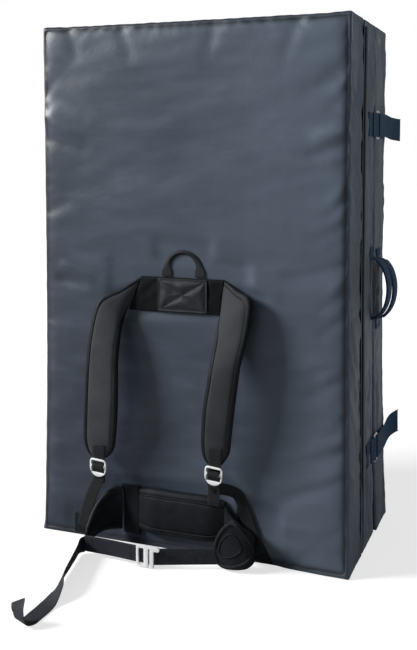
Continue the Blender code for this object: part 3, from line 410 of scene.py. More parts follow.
# %% A boxed block with seams
PANEL_WIDTH, PANEL_HEIGHT, PANEL_THICKNESS = 0.680, 1.100, 0.110
HALF_WIDTH, HALF_THICKNESS = PANEL_WIDTH / 2, PANEL_THICKNESS / 2
PANEL_MIDDLE_Y = {"front": -0.126, "middle": 0.0, "back": 0.120}
EDGE_RADIUS = 0.008
CROWN = 0.004
SIDE_DRAW = 0.003
TOP_DIP = 0.006
TOP_DIP_FRONT = 0.0015
EAR_START_SHARE = 0.82
ZIP_HALF_LENGTH, ZIP_HALF_WIDTH = 0.262, 0.012
ZIP_RECESS = 0.0016
FACE_Y = PANEL_MIDDLE_Y["front"] - HALF_THICKNESS


def crown(x, z):
    u, v = np.minimum(abs(x) / HALF_WIDTH, 1), np.minimum(abs(2 * z / PANEL_HEIGHT - 1), 1)
    return CROWN * (1 - u ** 4) * (1 - v ** 4)


def on_face(x, z, lift=0.0):
    """A point over the harness face, as in the CAD model."""
    return Vector((x, FACE_Y - float(crown(x, z)) - lift, z))


def boxed_block():
    start_clean()
    bpy.ops.mesh.primitive_cube_add(size=1, location=(0, 0, PANEL_HEIGHT / 2),
                                    scale=(PANEL_WIDTH, PANEL_THICKNESS, PANEL_HEIGHT))
    bpy.ops.object.transform_apply(location=True, scale=True)
    bpy.ops.object.mode_set(mode="EDIT")
    bpy.ops.mesh.bevel(offset=EDGE_RADIUS, segments=3, affect="EDGES")
    pick("faces", lambda f: abs(f.normal.y) > 0.99 and f.calc_area() > 0.5)
    bpy.ops.mesh.inset(thickness=0.0022, depth=-0.0012)
    bpy.ops.mesh.inset(thickness=0.0022, depth=0.0012)
    bpy.ops.mesh.inset(thickness=0.008, depth=0)
    for axis, shortest, cuts in ((0, 0.3, 61), (2, 0.5, 99), (1, 0.05, 15)):
        pick("edges", runs_along(axis, shortest))
        bpy.ops.mesh.subdivide(number_cuts=cuts)
    bpy.ops.object.mode_set(mode="OBJECT")
    return bpy.context.object


block = boxed_block()
print("boxed block:", len(block.data.polygons), "faces")

# %% The cushion form
def cushion(points):
    """Gives the block the CAD's form: crowned faces, drawn-in sides and a dip between the ears."""
    x, y, z = points.T.copy()
    v = np.minimum(abs(2 * z / PANEL_HEIGHT - 1), 1)
    ear = np.clip((abs(x) / HALF_WIDTH - EAR_START_SHARE) / (1 - EAR_START_SHARE), 0, 1)
    trough = TOP_DIP_FRONT + (TOP_DIP - TOP_DIP_FRONT) * np.clip(
        1.25 - (abs(y) / HALF_THICKNESS) ** 2 * 1.4, 0, 1)
    dip = trough * (1 - ear * ear * (3 - 2 * ear))
    made = points.copy()
    made[:, 1] += crown(x, z) * y / HALF_THICKNESS
    made[:, 0] -= np.sign(x) * SIDE_DRAW * (1 - v * v) * (abs(x) / HALF_WIDTH) ** 6
    made[:, 2] -= dip * (z / PANEL_HEIGHT) ** 12
    return made


def edge_distance(points):
    """How far a point is from the nearest edge of the block, in metres."""
    near = np.sort(np.stack([HALF_WIDTH - abs(points[:, 0]), HALF_THICKNESS - abs(points[:, 1]),
                             PANEL_HEIGHT / 2 - abs(points[:, 2] - PANEL_HEIGHT / 2)]), axis=0)
    return near[1]


square = points_of(block)
form = cushion(square)
from_edge = edge_distance(square)
print("points deeper than 2 cm inside an edge:", int((from_edge > 0.02).sum()))

# %% Blow the cloth up inside its seams
SWELL_CAP = 0.0045
CLOTH_FRAMES = 20
CLOTH_GROWTH = -0.012


def blow_up(piece, held, growth, pressure=4.0):
    """A cloth simulation with air inside. Held gives how firmly each point stays where it is, from 0 to 1."""
    start_clean()
    bpy.context.view_layer.objects.active = piece
    group = piece.vertex_groups.new(name="held")
    for level in np.unique(np.round(held, 1)):
        if level > 0:
            which = np.nonzero(np.round(held, 1) == level)[0]
            group.add([int(n) for n in which], float(level), "REPLACE")
    made = piece.modifiers.new("cloth", "CLOTH")
    made.settings.vertex_group_mass = group.name
    made.settings.use_pressure = True
    made.settings.uniform_pressure_force = pressure
    made.settings.shrink_min = growth
    made.settings.quality = 4
    made.settings.effector_weights.gravity = 0
    for number in range(1, CLOTH_FRAMES + 1):
        bpy.context.scene.frame_set(number)
    bpy.ops.object.modifier_apply(modifier=made.name)
    bpy.context.scene.frame_set(1)
    piece.vertex_groups.clear()


def soft_cap(moved, cap):
    """Shortens each move so that none is longer than the cap, without a sharp limit."""
    length = np.linalg.norm(moved, axis=1, keepdims=True)
    return moved * (cap * np.tanh(length / cap) / np.maximum(length, 1e-9))


move_points(block, form)
swell = np.zeros_like(form)
seam_hold = np.clip(1.2 - from_edge / 0.012, 0, 1)
blow_up(block, seam_hold, CLOTH_GROWTH)
swell = soft_cap(points_of(block) - form, SWELL_CAP)
print("largest swell", round(float(np.linalg.norm(swell, axis=1).max()) * 1000, 2), "mm")

# %% [markdown]
# ## Creases and undulations
#
# Foam holds the fabric almost flat, but the coating keeps soft waves from lying folded in a store,
# and pinches start at the seams. Each crease is a short line with a width and a depth, laid
# where the photograph shows one, and the waves are a smooth noise stretched sideways.
# Under everything that is sewn on, the cover stays on its CAD surface so that the sewing sits on it.

# %% Creases of the front face
CREASES = (
    # x and z of both ends, half width, height (a valley is negative)
    (-0.285, 0.585, -0.215, 0.560, 0.012, 0.0046), (-0.290, 0.560, -0.225, 0.545, 0.010, -0.0044),
    (0.110, 0.560, 0.175, 0.532, 0.012, -0.0040), (0.120, 0.575, 0.200, 0.548, 0.012, 0.0036),
    (0.338, 0.838, 0.250, 0.815, 0.012, -0.0044), (0.338, 0.865, 0.262, 0.858, 0.014, 0.0036),
    (-0.338, 0.905, -0.235, 0.850, 0.016, 0.0040), (-0.338, 0.868, -0.220, 0.832, 0.014, -0.0038),
    (-0.338, 0.960, -0.215, 0.905, 0.016, -0.0030), (-0.338, 0.700, -0.262, 0.730, 0.014, -0.0030),
    (-0.338, 0.480, -0.275, 0.455, 0.014, -0.0034), (-0.338, 0.300, -0.270, 0.318, 0.014, -0.0030),
    (-0.338, 0.180, -0.285, 0.200, 0.014, 0.0026), (-0.150, 1.085, -0.120, 1.010, 0.012, -0.0026),
    (0.060, 1.085, 0.040, 1.005, 0.013, -0.0026), (0.230, 1.085, 0.200, 1.000, 0.013, -0.0028),
    (-0.270, 1.085, -0.250, 1.020, 0.013, -0.0026), (0.338, 1.000, 0.270, 0.965, 0.012, -0.0032),
    (0.205, 0.140, 0.290, 0.175, 0.014, -0.0034), (0.190, 0.085, 0.300, 0.095, 0.014, 0.0030),
    (-0.060, 0.330, 0.030, 0.345, 0.030, 0.0026), (-0.080, 0.240, 0.060, 0.255, 0.030, -0.0024),
)
PULL_START, PULL_STEP, PULL_COUNT = 0.150, 0.0615, 14


def pulls():
    """Diagonal folds that start at the right edge seam and fade inwards, a valley and a ridge in turn."""
    made = []
    for n in range(PULL_COUNT):
        z = PULL_START + PULL_STEP * n + 0.014 * math.sin(2.7 * n)
        reach = 0.095 + 0.045 * math.sin(1.9 * n + 0.6)
        drop = 0.045 + 0.015 * math.sin(4.3 * n)
        made.append((0.339, z + drop, 0.339 - reach, z, 0.009, -0.0026 - 0.0014 * math.sin(3.1 * n)))
        made.append((0.339, z + drop + 0.026, 0.339 - reach * 0.7, z + 0.030, 0.012,
                     0.0018 + 0.0012 * math.sin(2.3 * n)))
    return tuple(made)


SEWN_ON = ((-0.165, 0.125, 0.498, 0.600), (-0.150, 0.092, 0.020, 0.133), (-0.267, -0.226, 0.0, 0.052),
           (0.105, 0.188, 0.0, 0.114), (-0.06, 0.045, 0.57, 0.64))
SEWN_FADE = 0.022


def crease_height(x, z, creases):
    height = np.zeros_like(x)
    for x0, z0, x1, z1, half_width, rise in creases:
        along = np.array((x1 - x0, z1 - z0))
        length = float(np.hypot(*along))
        along /= length
        share = np.clip(((x - x0) * along[0] + (z - z0) * along[1]) / length, 0, 1)
        off = np.hypot(x - x0 - share * length * along[0], z - z0 - share * length * along[1])
        height += rise * np.exp(-(off / half_width) ** 2) * (1 - share ** 2) ** 0.5
    return height


def sewn_down(x, z):
    """1 under what is sewn on the face, fading to 0 around it."""
    held = np.zeros_like(x)
    for left, right, low, high in SEWN_ON:
        off = np.hypot(np.maximum(np.maximum(left - x, x - right), 0),
                       np.maximum(np.maximum(low - z, z - high), 0))
        held = np.maximum(held, 1 - np.clip(off / SEWN_FADE, 0, 1))
    return held * held * (3 - 2 * held)


def rolling(points, seed, stretch, step):
    """A smooth noise from -1 to 1 at every point."""
    scale = Vector(stretch) / step
    start = Vector((seed, seed * 0.37, seed * 1.91))
    return np.array([noise.noise(Vector(p) * scale + start) for p in points])


print("creases:", len(CREASES) + 2 * PULL_COUNT, "sewn areas:", len(SEWN_ON))

# %% Three covers from one form
PUCKER_STEP = 0.030


FOOT_FLARE, FOOT_FLARE_HEIGHT, FOOT_SQUARE = 0.0065, 0.55, 1.0
CORNER_FLARE, FOOT_KICK = 0.008, 0.006


def square_foot(made):
    """The lower edges are pressed square by the pad's weight, and the panel is a little wider at its foot."""
    inner = np.stack([np.sign(square[:, n]) * (half - EDGE_RADIUS) for n, half in
                      ((0, HALF_WIDTH), (1, HALF_THICKNESS))], axis=1)
    low = square[:, 2] < EDGE_RADIUS
    outside = (abs(square[:, :2]) > abs(inner)) & low[:, None]
    off = np.where(outside, abs(square[:, :2] - inner), 0)
    fall = np.where(low, EDGE_RADIUS - square[:, 2], 0)
    most = np.maximum(np.maximum(off[:, 0], off[:, 1]), fall)
    stretch = np.where(most > 0, FOOT_SQUARE * (EDGE_RADIUS / np.maximum(most, 1e-6) - 1), 0)
    made = made.copy()
    made[:, :2] += np.sign(square[:, :2]) * off * stretch[:, None]
    made[:, 2] -= fall * stretch
    spread = np.clip(1 - square[:, 2] / FOOT_FLARE_HEIGHT, 0, 1) ** 2
    made[:, 0] += (np.where(square[:, 0] < 0, -1, 0.25) * FOOT_FLARE * spread
                   * np.clip(abs(square[:, 0]) / HALF_WIDTH, 0, 1) ** 3)
    corner = np.clip((square[:, 0] - 0.19) / 0.10, 0, 1) * np.clip(1 - square[:, 2] / 0.30, 0, 1) ** 2
    made[:, 1] -= (CORNER_FLARE * corner * (square[:, 1] < 0)
                   * np.clip(-square[:, 1] / HALF_THICKNESS, 0, 1) ** 4)
    kick = (np.clip(1 - square[:, 2] / 0.020, 0, 1) ** 2
            * (1 - sewn_down(square[:, 0], square[:, 2]) * (square[:, 0] > 0.08)))
    made[:, 1] -= FOOT_KICK * kick * (square[:, 1] < 0) * np.clip(-square[:, 1] / HALF_THICKNESS, 0, 1) ** 4
    made[:, 2] = np.maximum(made[:, 2], 0.0)
    return made


def mark(piece, name, values):
    """Stores one number at each point, for the material to read."""
    layer = piece.data.attributes.new(name, "FLOAT", "POINT")
    layer.data.foreach_set("value", np.asarray(values, float))


def cover_marks(side):
    """The cover's painted shade along its seam, rims, top and fold sides, and the painted light on its narrow
    sides.
    """
    on_face_side = abs(square[:, 1]) > HALF_THICKNESS - 0.003
    seam = np.exp(-((from_edge - 0.0102) / 0.0028) ** 2) * on_face_side
    topmost = np.clip((square[:, 2] - PANEL_HEIGHT + 0.005) / 0.005, 0, 1)
    rim = np.clip(1 - from_edge / 0.011, 0, 1) * 0.65 * (square[:, 0] > -0.32)
    narrow = np.clip((abs(square[:, 0]) - HALF_WIDTH + 0.009) / 0.009, 0, 1)
    inward = np.clip((square[:, 1] / HALF_THICKNESS + 0.2) / 1.2, 0, 1)
    # Shade above 0 is painted shade and below 0 is painted light; the top and the rims are painted darker
    # too.
    if side == "front":
        shade = narrow * (0.95 * inward ** 5 - 0.30 * (1 - inward ** 2)) + rim * (1 - narrow * 0.5)
    else:
        shade = rim * (1 - narrow) - 0.55 * narrow + narrow * np.clip(1 - from_edge / 0.007, 0, 1) * 1.4
    return seam, shade + 0.75 * topmost


WAVE_HEIGHT, WAVE_STEP = 0.0026, 0.17
RIPPLE_HEIGHT, RIPPLE_STEP = 0.0013, 0.07
PUCKER_HEIGHT, PUCKER_REACH = 0.0016, 0.030
WRINKLE_HEIGHT, WRINKLE_CREASE, WRINKLE_STEP = 0.0028, 0.0042, 0.030
SIDE_SINK, TOP_SINK = 0.0008, 0.0006
TOP_WAVE_HEIGHT, TOP_WAVE_STEP = 0.0010, 0.05
SEWN_LIFT = 0.0003


def cover_points(seed, face_creases, mirrored):
    """The blown-up form with waves on its faces, puckers along its seams and wrinkles on its narrow sides."""
    x, y, z = form.T
    facing = np.where(abs(square[:, 1]) > HALF_THICKNESS - 0.004, np.sign(y), 0)
    side_on = np.clip((abs(square[:, 0]) - HALF_WIDTH + 0.006) / 0.006, 0, 1)
    top_on = np.clip((square[:, 2] - PANEL_HEIGHT + 0.006) / 0.006, 0, 1)
    inside = np.clip(from_edge / 0.03, 0, 1)
    slanted = form + np.stack([0 * x, 0 * y, -0.25 * x], 1)
    waves = (WAVE_HEIGHT * rolling(slanted, seed, (0.5, 1, 1.7), WAVE_STEP)
             + RIPPLE_HEIGHT * rolling(slanted, seed + 5, (0.7, 1, 2.4), RIPPLE_STEP))
    pucker = (PUCKER_HEIGHT * rolling(form, seed + 9, (1, 1, 1), PUCKER_STEP)
              * np.exp(-from_edge / PUCKER_REACH))
    pucker *= np.clip(from_edge / 0.008, 0, 1)
    made = form + swell
    lift = (waves * inside + pucker) * abs(facing)
    front = facing < 0
    if face_creases:
        lift[front] += crease_height(x[front], z[front], face_creases)
        hold = sewn_down(x, z) * front
        lift = lift * (1 - hold)
        made[:, 1] = np.where(hold > 0, made[:, 1] * (1 - hold) + (form[:, 1] + SEWN_LIFT) * hold, made[:, 1])
    made[:, 1] += facing * lift * np.clip(from_edge / 0.006, 0, 1)
    lean = 0.60 if face_creases and not mirrored else 0.12
    along_fold = rolling(np.stack([x, y * 1.3 + z * lean, z * 0.30], 1), seed + 2, (1, 1, 1), WRINKLE_STEP)
    sharp = np.clip(1 - abs(along_fold) * 3.2, 0, 1) ** 2
    wrinkle = WRINKLE_HEIGHT * along_fold - WRINKLE_CREASE * sharp
    wrinkle = wrinkle * side_on * np.clip(from_edge / 0.014, 0, 1)
    made[:, 0] += np.sign(x) * (wrinkle - SIDE_SINK * side_on)
    on_zip = (abs(x) < ZIP_HALF_LENGTH) & (abs(y) < ZIP_HALF_WIDTH) & (top_on > 0)
    beside = top_on * np.clip(from_edge / 0.016, 0, 1) * (1 - on_zip)
    top_waves = TOP_WAVE_HEIGHT * rolling(form, seed + 4, (1, 1, 1), TOP_WAVE_STEP)
    made[:, 2] += top_waves * beside - TOP_SINK * top_on
    made[:, 2] = np.where(on_zip, form[:, 2] - ZIP_RECESS, made[:, 2])
    made = square_foot(made)
    return made * (-1, -1, 1) if mirrored else made


for side, seed, creases, mirrored in (("front", 3.1, CREASES + pulls(), False), ("middle", 7.7, (), False),
                                      ("back", 12.4, CREASES[4:18], True)):
    start_clean()
    block.select_set(True)
    bpy.context.view_layer.objects.active = block
    bpy.ops.object.duplicate()
    cover = bpy.context.object
    placed = cover_points(seed, creases, mirrored) + (0, PANEL_MIDDLE_Y[side], 0)
    move_points(cover, placed)
    for name, values in zip(("seam", "shade"), cover_marks(side)):
        mark(cover, name, values)
    modify(cover, "SUBSURF", levels=1, render_levels=1)
    settle(cover, f"{side}_cover_fabric", cover_fabric, f"{side}_panel", [f"{side}_cover"], smooth=None)
    bpy.ops.object.shade_smooth()
    print(cover.name, len(cover.data.polygons), "faces")
bpy.data.objects.remove(block)

# %% [markdown]
# ## Straps, seams and thread
#
# Most of the harness is flat webbing. A webbing is a grid primitive whose points are laid along a route,
# thickened with Solidify and rounded with Bevel. Its UV map is in metres, so that the weave has its real
# size everywhere. Padded pieces are the same grid laid round a cross-section and closed.
# Thread is one small stitch, copied along each seam and turned to lie on the surface under it.

# %% Grids laid by a rule
def laid_grid(columns, rows, place, slots=None):
    """A grid whose points a rule places from two shares, along and across. It returns the UV map too."""
    start_clean()
    bpy.ops.mesh.primitive_grid_add(x_subdivisions=columns, y_subdivisions=rows, size=1)
    piece = bpy.context.object
    shares = points_of(piece)[:, :2] + 0.5
    points, flat = place(shares[:, 0], shares[:, 1])
    move_points(piece, points)
    corners = np.zeros(len(piece.data.loops), int)
    piece.data.loops.foreach_get("vertex_index", corners)
    piece.data.uv_layers.active.data.foreach_set("uv", np.asarray(flat, float)[corners].ravel())
    if slots:
        for face in piece.data.polygons:
            along, across = shares[list(face.vertices)].mean(axis=0)
            face.material_index = slots(along, across)
    return piece


def close_up(piece, caps=True):
    """Merges the points that meet, and fills the open ends."""
    start_clean()
    bpy.context.view_layer.objects.active = piece
    bpy.ops.object.mode_set(mode="EDIT")
    bpy.ops.mesh.select_all(action="SELECT")
    bpy.ops.mesh.remove_doubles(threshold=0.00002)
    if caps:
        bpy.ops.mesh.fill_holes(sides=0)
    bpy.ops.mesh.select_all(action="SELECT")
    bpy.ops.mesh.normals_make_consistent(inside=False)
    bpy.ops.object.mode_set(mode="OBJECT")
    return piece


def smooth_rows(knots, steps):
    """More rows of numbers between the given ones, on a smooth curve through them."""
    k = np.array(knots, float)
    made = []
    for n in range(len(k) - 1):
        a, b, c, d = k[max(n - 1, 0)], k[n], k[n + 1], k[min(n + 2, len(k) - 1)]
        for t in np.arange(steps) / steps:
            made.append(0.5 * (2 * b + (c - a) * t + (2 * a - 5 * b + 4 * c - d) * t ** 2
                               + (3 * b - a - 3 * c + d) * t ** 3))
    return np.array(made + [k[-1]])


def run_of(points):
    """How far along the line each of its points is."""
    return np.concatenate([[0], np.cumsum(np.linalg.norm(np.diff(points, axis=0), axis=1))])


def unit(rows):
    return rows / np.maximum(np.linalg.norm(rows, axis=1, keepdims=True), 1e-9)


def round_loop(path, normals, radius, sides=12):
    """A round section carried along a closed path."""
    path = np.asarray(path, float)
    count = len(path)
    ahead = unit(np.roll(path, -1, axis=0) - np.roll(path, 1, axis=0))
    side = unit(np.cross(ahead, normals))
    up = unit(np.cross(side, ahead))

    def place(along, across):
        n = np.round(along * count).astype(int) % count
        angle = across * math.tau
        off = side[n] * np.cos(angle)[:, None] + up[n] * np.sin(angle)[:, None]
        return path[n] + off * radius, np.stack([along, across], 1)

    return close_up(laid_grid(count, sides, place), caps=False)


def webbing(rows, thickness, columns=6, cup=0.0):
    """A flat strap along a route. A row holds a place, a width direction and a width. Cup bends its edges."""
    rows = np.array(rows, float)
    run = run_of(rows[:, :3])
    sides = unit(rows[:, 3:6])
    ahead = np.gradient(rows[:, :3], axis=0)
    fronts = unit(np.cross(sides, ahead))

    def place(along, across):
        n = np.round(along * (len(rows) - 1)).astype(int)
        off = (across - 0.5) * rows[n, 6]
        bend = cup * (2 * across - 1) ** 2
        return rows[n, :3] + sides[n] * off[:, None] + fronts[n] * bend[:, None], np.stack([run[n], off], 1)

    strap = laid_grid(len(rows) - 1, columns, place)
    modify(strap, "SOLIDIFY", thickness=thickness, offset=0, use_even_offset=True)
    modify(strap, "BEVEL", width=thickness * 0.3, segments=2, limit_method="ANGLE",
           angle_limit=math.radians(55))
    face_outwards(strap)
    return strap


def with_side(points, side, width):
    """Rows for a webbing with one width direction."""
    return [(*p, *side, width) for p in points]


def quilted(rows, profile):
    """A padded strip. A row holds both edges of its back, its thickness and its outward direction.

    The profile goes round the section: shares of the half width and thickness, and a material slot."""
    rows = np.array(rows, float)
    sections = np.array(profile, float)
    middles = (rows[:, :3] + rows[:, 3:6]) / 2
    halves = (rows[:, :3] - rows[:, 3:6]) / 2
    normals = unit(np.cross(halves, np.gradient(middles, axis=0)))
    normals *= np.sign((normals * rows[:, 7:10]).sum(axis=1, keepdims=True))
    run = run_of(middles)
    count = len(sections)

    def place(along, across):
        n = np.round(along * (len(rows) - 1)).astype(int)
        m = np.round(across * count).astype(int) % count
        side, rise = sections[m, 0], sections[m, 1]
        flat = np.stack([run[n], side * np.linalg.norm(halves[n], axis=1)], 1)
        return middles[n] + halves[n] * side[:, None] + normals[n] * (rows[n, 6] * rise)[:, None], flat

    def slots(along, across):
        return int(sections[int(across * count) % count, 2])

    return close_up(laid_grid(len(rows) - 1, count, place, slots))


def joined(piece, *others):
    """Several pieces as one mesh, which keeps the first one's name."""
    start_clean()
    for other in others:
        other.select_set(True)
    piece.select_set(True)
    bpy.context.view_layer.objects.active = piece
    bpy.ops.object.join()
    return piece


def dressed(piece, *finishes):
    for finish in finishes:
        piece.data.materials.append(finish.material)
    return piece


STITCH_STEP = 0.0042
STITCH_SIZE = (0.0032, 0.0009, 0.0007)

start_clean()
bpy.ops.mesh.primitive_uv_sphere_add(segments=6, ring_count=4, radius=0.5, scale=STITCH_SIZE)
bpy.ops.object.transform_apply(scale=True)
bpy.ops.object.shade_smooth()
stitch = bpy.context.object


def sew(piece, lines, finish, step=STITCH_STEP, lift=0.0001):
    """Stitches along lines over a piece, joined to it. A line is a list of places near the surface."""
    made = []
    for line in lines:
        line = np.array([tuple(p) for p in line], float)
        run = run_of(line)
        for at in (np.arange(int(run[-1] / step)) + 0.5) * step:
            here, there = (Vector([np.interp(s, run, line[:, a]) for a in range(3)])
                           for s in (at, at + 0.001))
            _, place, normal, _ = piece.closest_point_on_mesh(here)
            along = there - here
            along = (along - along.dot(normal) * normal).normalized()
            turned = Matrix((along, normal.cross(along), normal)).transposed().to_4x4()
            copy = bpy.data.objects.new("stitch", stitch.data.copy())
            copy.matrix_world = Matrix.Translation(place + normal * lift) @ turned
            bpy.context.collection.objects.link(copy)
            made.append(copy)
    thread = dressed(joined(*made), finish)
    return joined(piece, thread)


def box_lines(corner_a, corner_b, cross=True):
    """The four sides of a sewn box in x and z on the face, and its cross."""
    (x0, z0), (x1, z1) = corner_a, corner_b
    ring = [(x0, z0), (x1, z0), (x1, z1), (x0, z1), (x0, z0)]
    lines = [ring] + ([[(x0, z0), (x1, z1)], [(x0, z1), (x1, z0)]] if cross else [])
    return [[on_face(x, z, 0.01) for x, z in line] for line in lines]


print("stitch:", len(stitch.data.polygons), "faces")

# %% [markdown]
# ## Cloths and metals
#
# Harness cloths are nearly black but differ in the way they catch light: webbing has cross ribs and a
# thicker edge, the shoulder straps have a spacer mesh inside a smooth binding, and the hip pieces are
# a coarse nylon. Ribs and meshes use the UV map in metres, so that they follow each strap.

# %% Finishes of the harness
CHARCOAL = plain_colour(42, 46, 54)
BLACK = plain_colour(27, 29, 33)
INK_BLUE = plain_colour(48, 78, 108)
RIB_STEP = 0.0017


def webbing_finish(name, base, light, edge_from):
    """Ribs across the strap, fine rows along it, and a smoother edge. Dust and wear lighten it a little."""
    cloth = Finish(name, roughness=0.62, Sheen_Weight=0.02, Specular_IOR_Level=0.22)
    along, across = cloth.axis("X", uv=True), cloth.axis("Y", uv=True)
    ribs = (along * (math.tau / RIB_STEP)).wave()
    rows = (across * (math.tau / 0.0022)).wave()
    weave = ribs * (rows * 0.5 + 0.5)
    cloud = cloth.noise(14.0, detail=4.0)
    worn = (cloth.noise(120.0, detail=5.0) - 0.5).held()
    tone = cloth.mix((weave * 0.45 + cloud * 0.6 - 0.15).held(), tuple(c * 0.62 for c in base), base)
    edge = ((across * across) ** 0.5).above(edge_from)
    cloth.colour(cloth.mix((worn * 0.7 + edge * 0.18).held(), tone, light))
    cloth.roughness(weave * -0.12 + cloud * 0.2 + 0.55)
    return cloth.bump(weave * (1 - edge) + edge * 0.6 + cloud * 0.2, 0.0006, 0.7)


def mesh_finish(name, base, light):
    """Spacer mesh: small diagonal holes."""
    cloth = Finish(name, roughness=0.85, Sheen_Weight=0.03, Specular_IOR_Level=0.2)
    turned = {"uv": True, "turn": (0, 0, math.radians(45))}
    turns = math.tau / 0.0024
    holes = (cloth.axis("X", **turned) * turns).wave() * (cloth.axis("Y", **turned) * turns).wave()
    cloud = cloth.noise(22.0, detail=3.0)
    cloth.colour(cloth.mix((holes * 0.7 + cloud * 0.5 - 0.1).held(), base, light))
    cloth.roughness(holes * 0.15 + 0.75)
    return cloth.bump(holes, 0.0009, 0.8)


def ribbed_finish(name, base, light):
    """A broad webbing face with strong cross ribs."""
    cloth = Finish(name, roughness=0.75, Sheen_Weight=0.03, Specular_IOR_Level=0.2)
    ribs = ((cloth.axis("Z") + cloth.axis("X") * 0.06) * (math.tau / 0.0036)).wave()
    fine = (cloth.axis("Y", uv=True) * (math.tau / 0.0016)).wave()
    cloud = cloth.noise(18.0, detail=4.0)
    cloth.colour(cloth.mix((ribs * 0.35 + fine * 0.1 + cloud * 0.7 - 0.2).held(), base, light))
    cloth.roughness(cloud * 0.2 + 0.62)
    return cloth.bump(ribs + fine * 0.2, 0.0006, 0.6)


def nylon_finish(name, base, light, step=0.0012, gloss=0.55, shine=0.14):
    """Plain-woven nylon with lint and rubbed places."""
    cloth = Finish(name, roughness=gloss, Sheen_Weight=0.01, Specular_IOR_Level=shine)
    turns = math.tau / step
    weave = (cloth.axis("X", uv=True) * turns).wave() * 0.5 + (cloth.axis("Y", uv=True) * turns).wave() * 0.5
    cloud = cloth.noise(12.0, detail=5.0)
    worn = (cloth.noise(70.0, detail=6.0) - 0.52).held() * 1.6
    tone = cloth.mix((cloud * 1.1 + weave * 0.2 - 0.2).held(), tuple(c * 0.7 for c in base), base)
    cloth.colour(cloth.mix((worn * 0.35).held(), tone, light))
    cloth.roughness(cloud * 0.18 + gloss - 0.09)
    return cloth.bump(weave * 0.6 + cloth.noise(55.0, detail=2.0) * 1.4, 0.0006, 0.6)


def metal_finish(name, colour, roughness, metallic=1.0):
    """Polished metal with fine scratches and slightly uneven gloss."""
    metal = Finish(name, roughness=roughness, metallic=metallic)
    scratches = metal.noise(900.0, detail=3.0, stretch=(1, 1, 0.08))
    cloud = metal.noise(60.0, detail=2.0)
    metal.colour(metal.mix(cloud * 0.5, colour, tuple(c * 0.86 for c in colour)))
    metal.roughness(scratches * 0.10 + cloud * 0.08 + roughness - 0.08)
    return metal.bump(scratches, 0.0001, 0.25)


def foam_finish(name, base, dark, cell):
    foam = Finish(name, roughness=0.95)
    cells = foam.node("ShaderNodeTexVoronoi", None, {"Vector": foam.place(), "Scale": 1 / cell},
                      out="Distance")
    foam.colour(foam.mix((cells * 0.9 + foam.noise(20.0) * 0.3 - 0.1).held(), dark, base))
    return foam.bump(cells, 0.0008, 0.8)


black_webbing = webbing_finish("black_webbing", CHARCOAL, plain_colour(84, 87, 94), 0.0155)
narrow_webbing = webbing_finish("narrow_webbing", BLACK, plain_colour(70, 72, 78), 0.0108)
navy_webbing = webbing_finish("navy_webbing", INK_BLUE, plain_colour(84, 98, 118), 0.0235)
navy_handle = webbing_finish("navy_handle_webbing", INK_BLUE, plain_colour(84, 98, 118), 0.0172)
spacer_mesh = mesh_finish("spacer_mesh", plain_colour(38, 40, 45), plain_colour(84, 86, 91))
ribbed_face = ribbed_finish("ribbed_face", plain_colour(28, 29, 34), plain_colour(64, 65, 70))
binding = nylon_finish("binding_tape", BLACK, plain_colour(66, 69, 76), step=0.0016, gloss=0.5)
harness_nylon = nylon_finish("harness_nylon", plain_colour(24, 26, 31), plain_colour(62, 65, 72))
# The yoke band's base is darker than its cloth, as painted shade on the band between the straps and the
# patch.
yoke_nylon = nylon_finish("yoke_nylon", plain_colour(14, 15, 18), plain_colour(44, 46, 52),
                          gloss=0.6, shine=0.08)
patch_nylon = nylon_finish("patch_nylon", plain_colour(44, 45, 50), plain_colour(92, 94, 100), gloss=0.42)
dark_thread = nylon_finish("dark_thread", plain_colour(52, 55, 61), plain_colour(96, 99, 106), step=0.0006)
navy_thread = nylon_finish("navy_thread", plain_colour(60, 72, 90), plain_colour(100, 112, 130), step=0.0006)


def hinge_finish(name, black_gap_shade, edge_highlight):
    """Black cloth inside the fold, also painted shade of the deep gap, and a painted highlight where it wraps
    round an edge.
    """
    cloth = Finish(name, roughness=0.6, Specular_IOR_Level=0.15)
    across = cloth.axis("Y", uv=True) * 10 - 0.5
    lit_edge = ((across * across * 4 - 0.60) * 9).held()
    cloud = cloth.noise(30.0, detail=4.0, stretch=(1, 1, 0.3))
    cloth.colour(cloth.mix((lit_edge * (cloud + 0.35)).held(), black_gap_shade, edge_highlight))
    return cloth.bump(cloth.noise(300.0), 0.0003, 0.5)


# Nearly black as painted shade in the gap, and pale as a painted highlight on the wrapped edges.
hinge_cloth = hinge_finish("hinge_cloth", plain_colour(14, 15, 17), plain_colour(116, 120, 130))
zip_tape = nylon_finish("zip_tape", plain_colour(22, 23, 26), plain_colour(52, 54, 58),
                        step=0.0010, gloss=0.7)
# The near-white base with little metallic paints the bright reflections of polished metal into its colour.
bright_metal = metal_finish("bright_metal", plain_colour(250, 250, 251), 0.36, metallic=0.15)
grey_metal = metal_finish("grey_metal", plain_colour(150, 151, 154), 0.34)
soft_foam = foam_finish("open_cell_foam", plain_colour(226, 221, 198), plain_colour(180, 172, 146), 0.0022)
firm_foam = foam_finish("closed_cell_foam", plain_colour(96, 99, 106), plain_colour(60, 62, 68), 0.0012)
print("materials:", len(bpy.data.materials))

# %% [markdown]
# ## Yoke and haul loop
#
# The shoulder straps are sewn to a wide fabric band, whose ends slant along the strap seams. A stiffer
# patch with a boxed cross covers its middle, and the haul loop comes out above it. Each ply is a grid laid
# a little above the one under it. The haul loop's webbing is folded narrow where the hand holds it.

# %% Yoke band, patch and haul loop
FACE_GAP, SEAT_GAP = 0.0008, 0.0004
WEBBING, HEAVY_WEBBING = 0.0018, 0.0025
YOKE_TOP, YOKE_BOTTOM = 0.573, 0.501


def face_points(x, z, lift):
    return np.stack([x, FACE_Y - crown(x, z) - lift, z], 1)


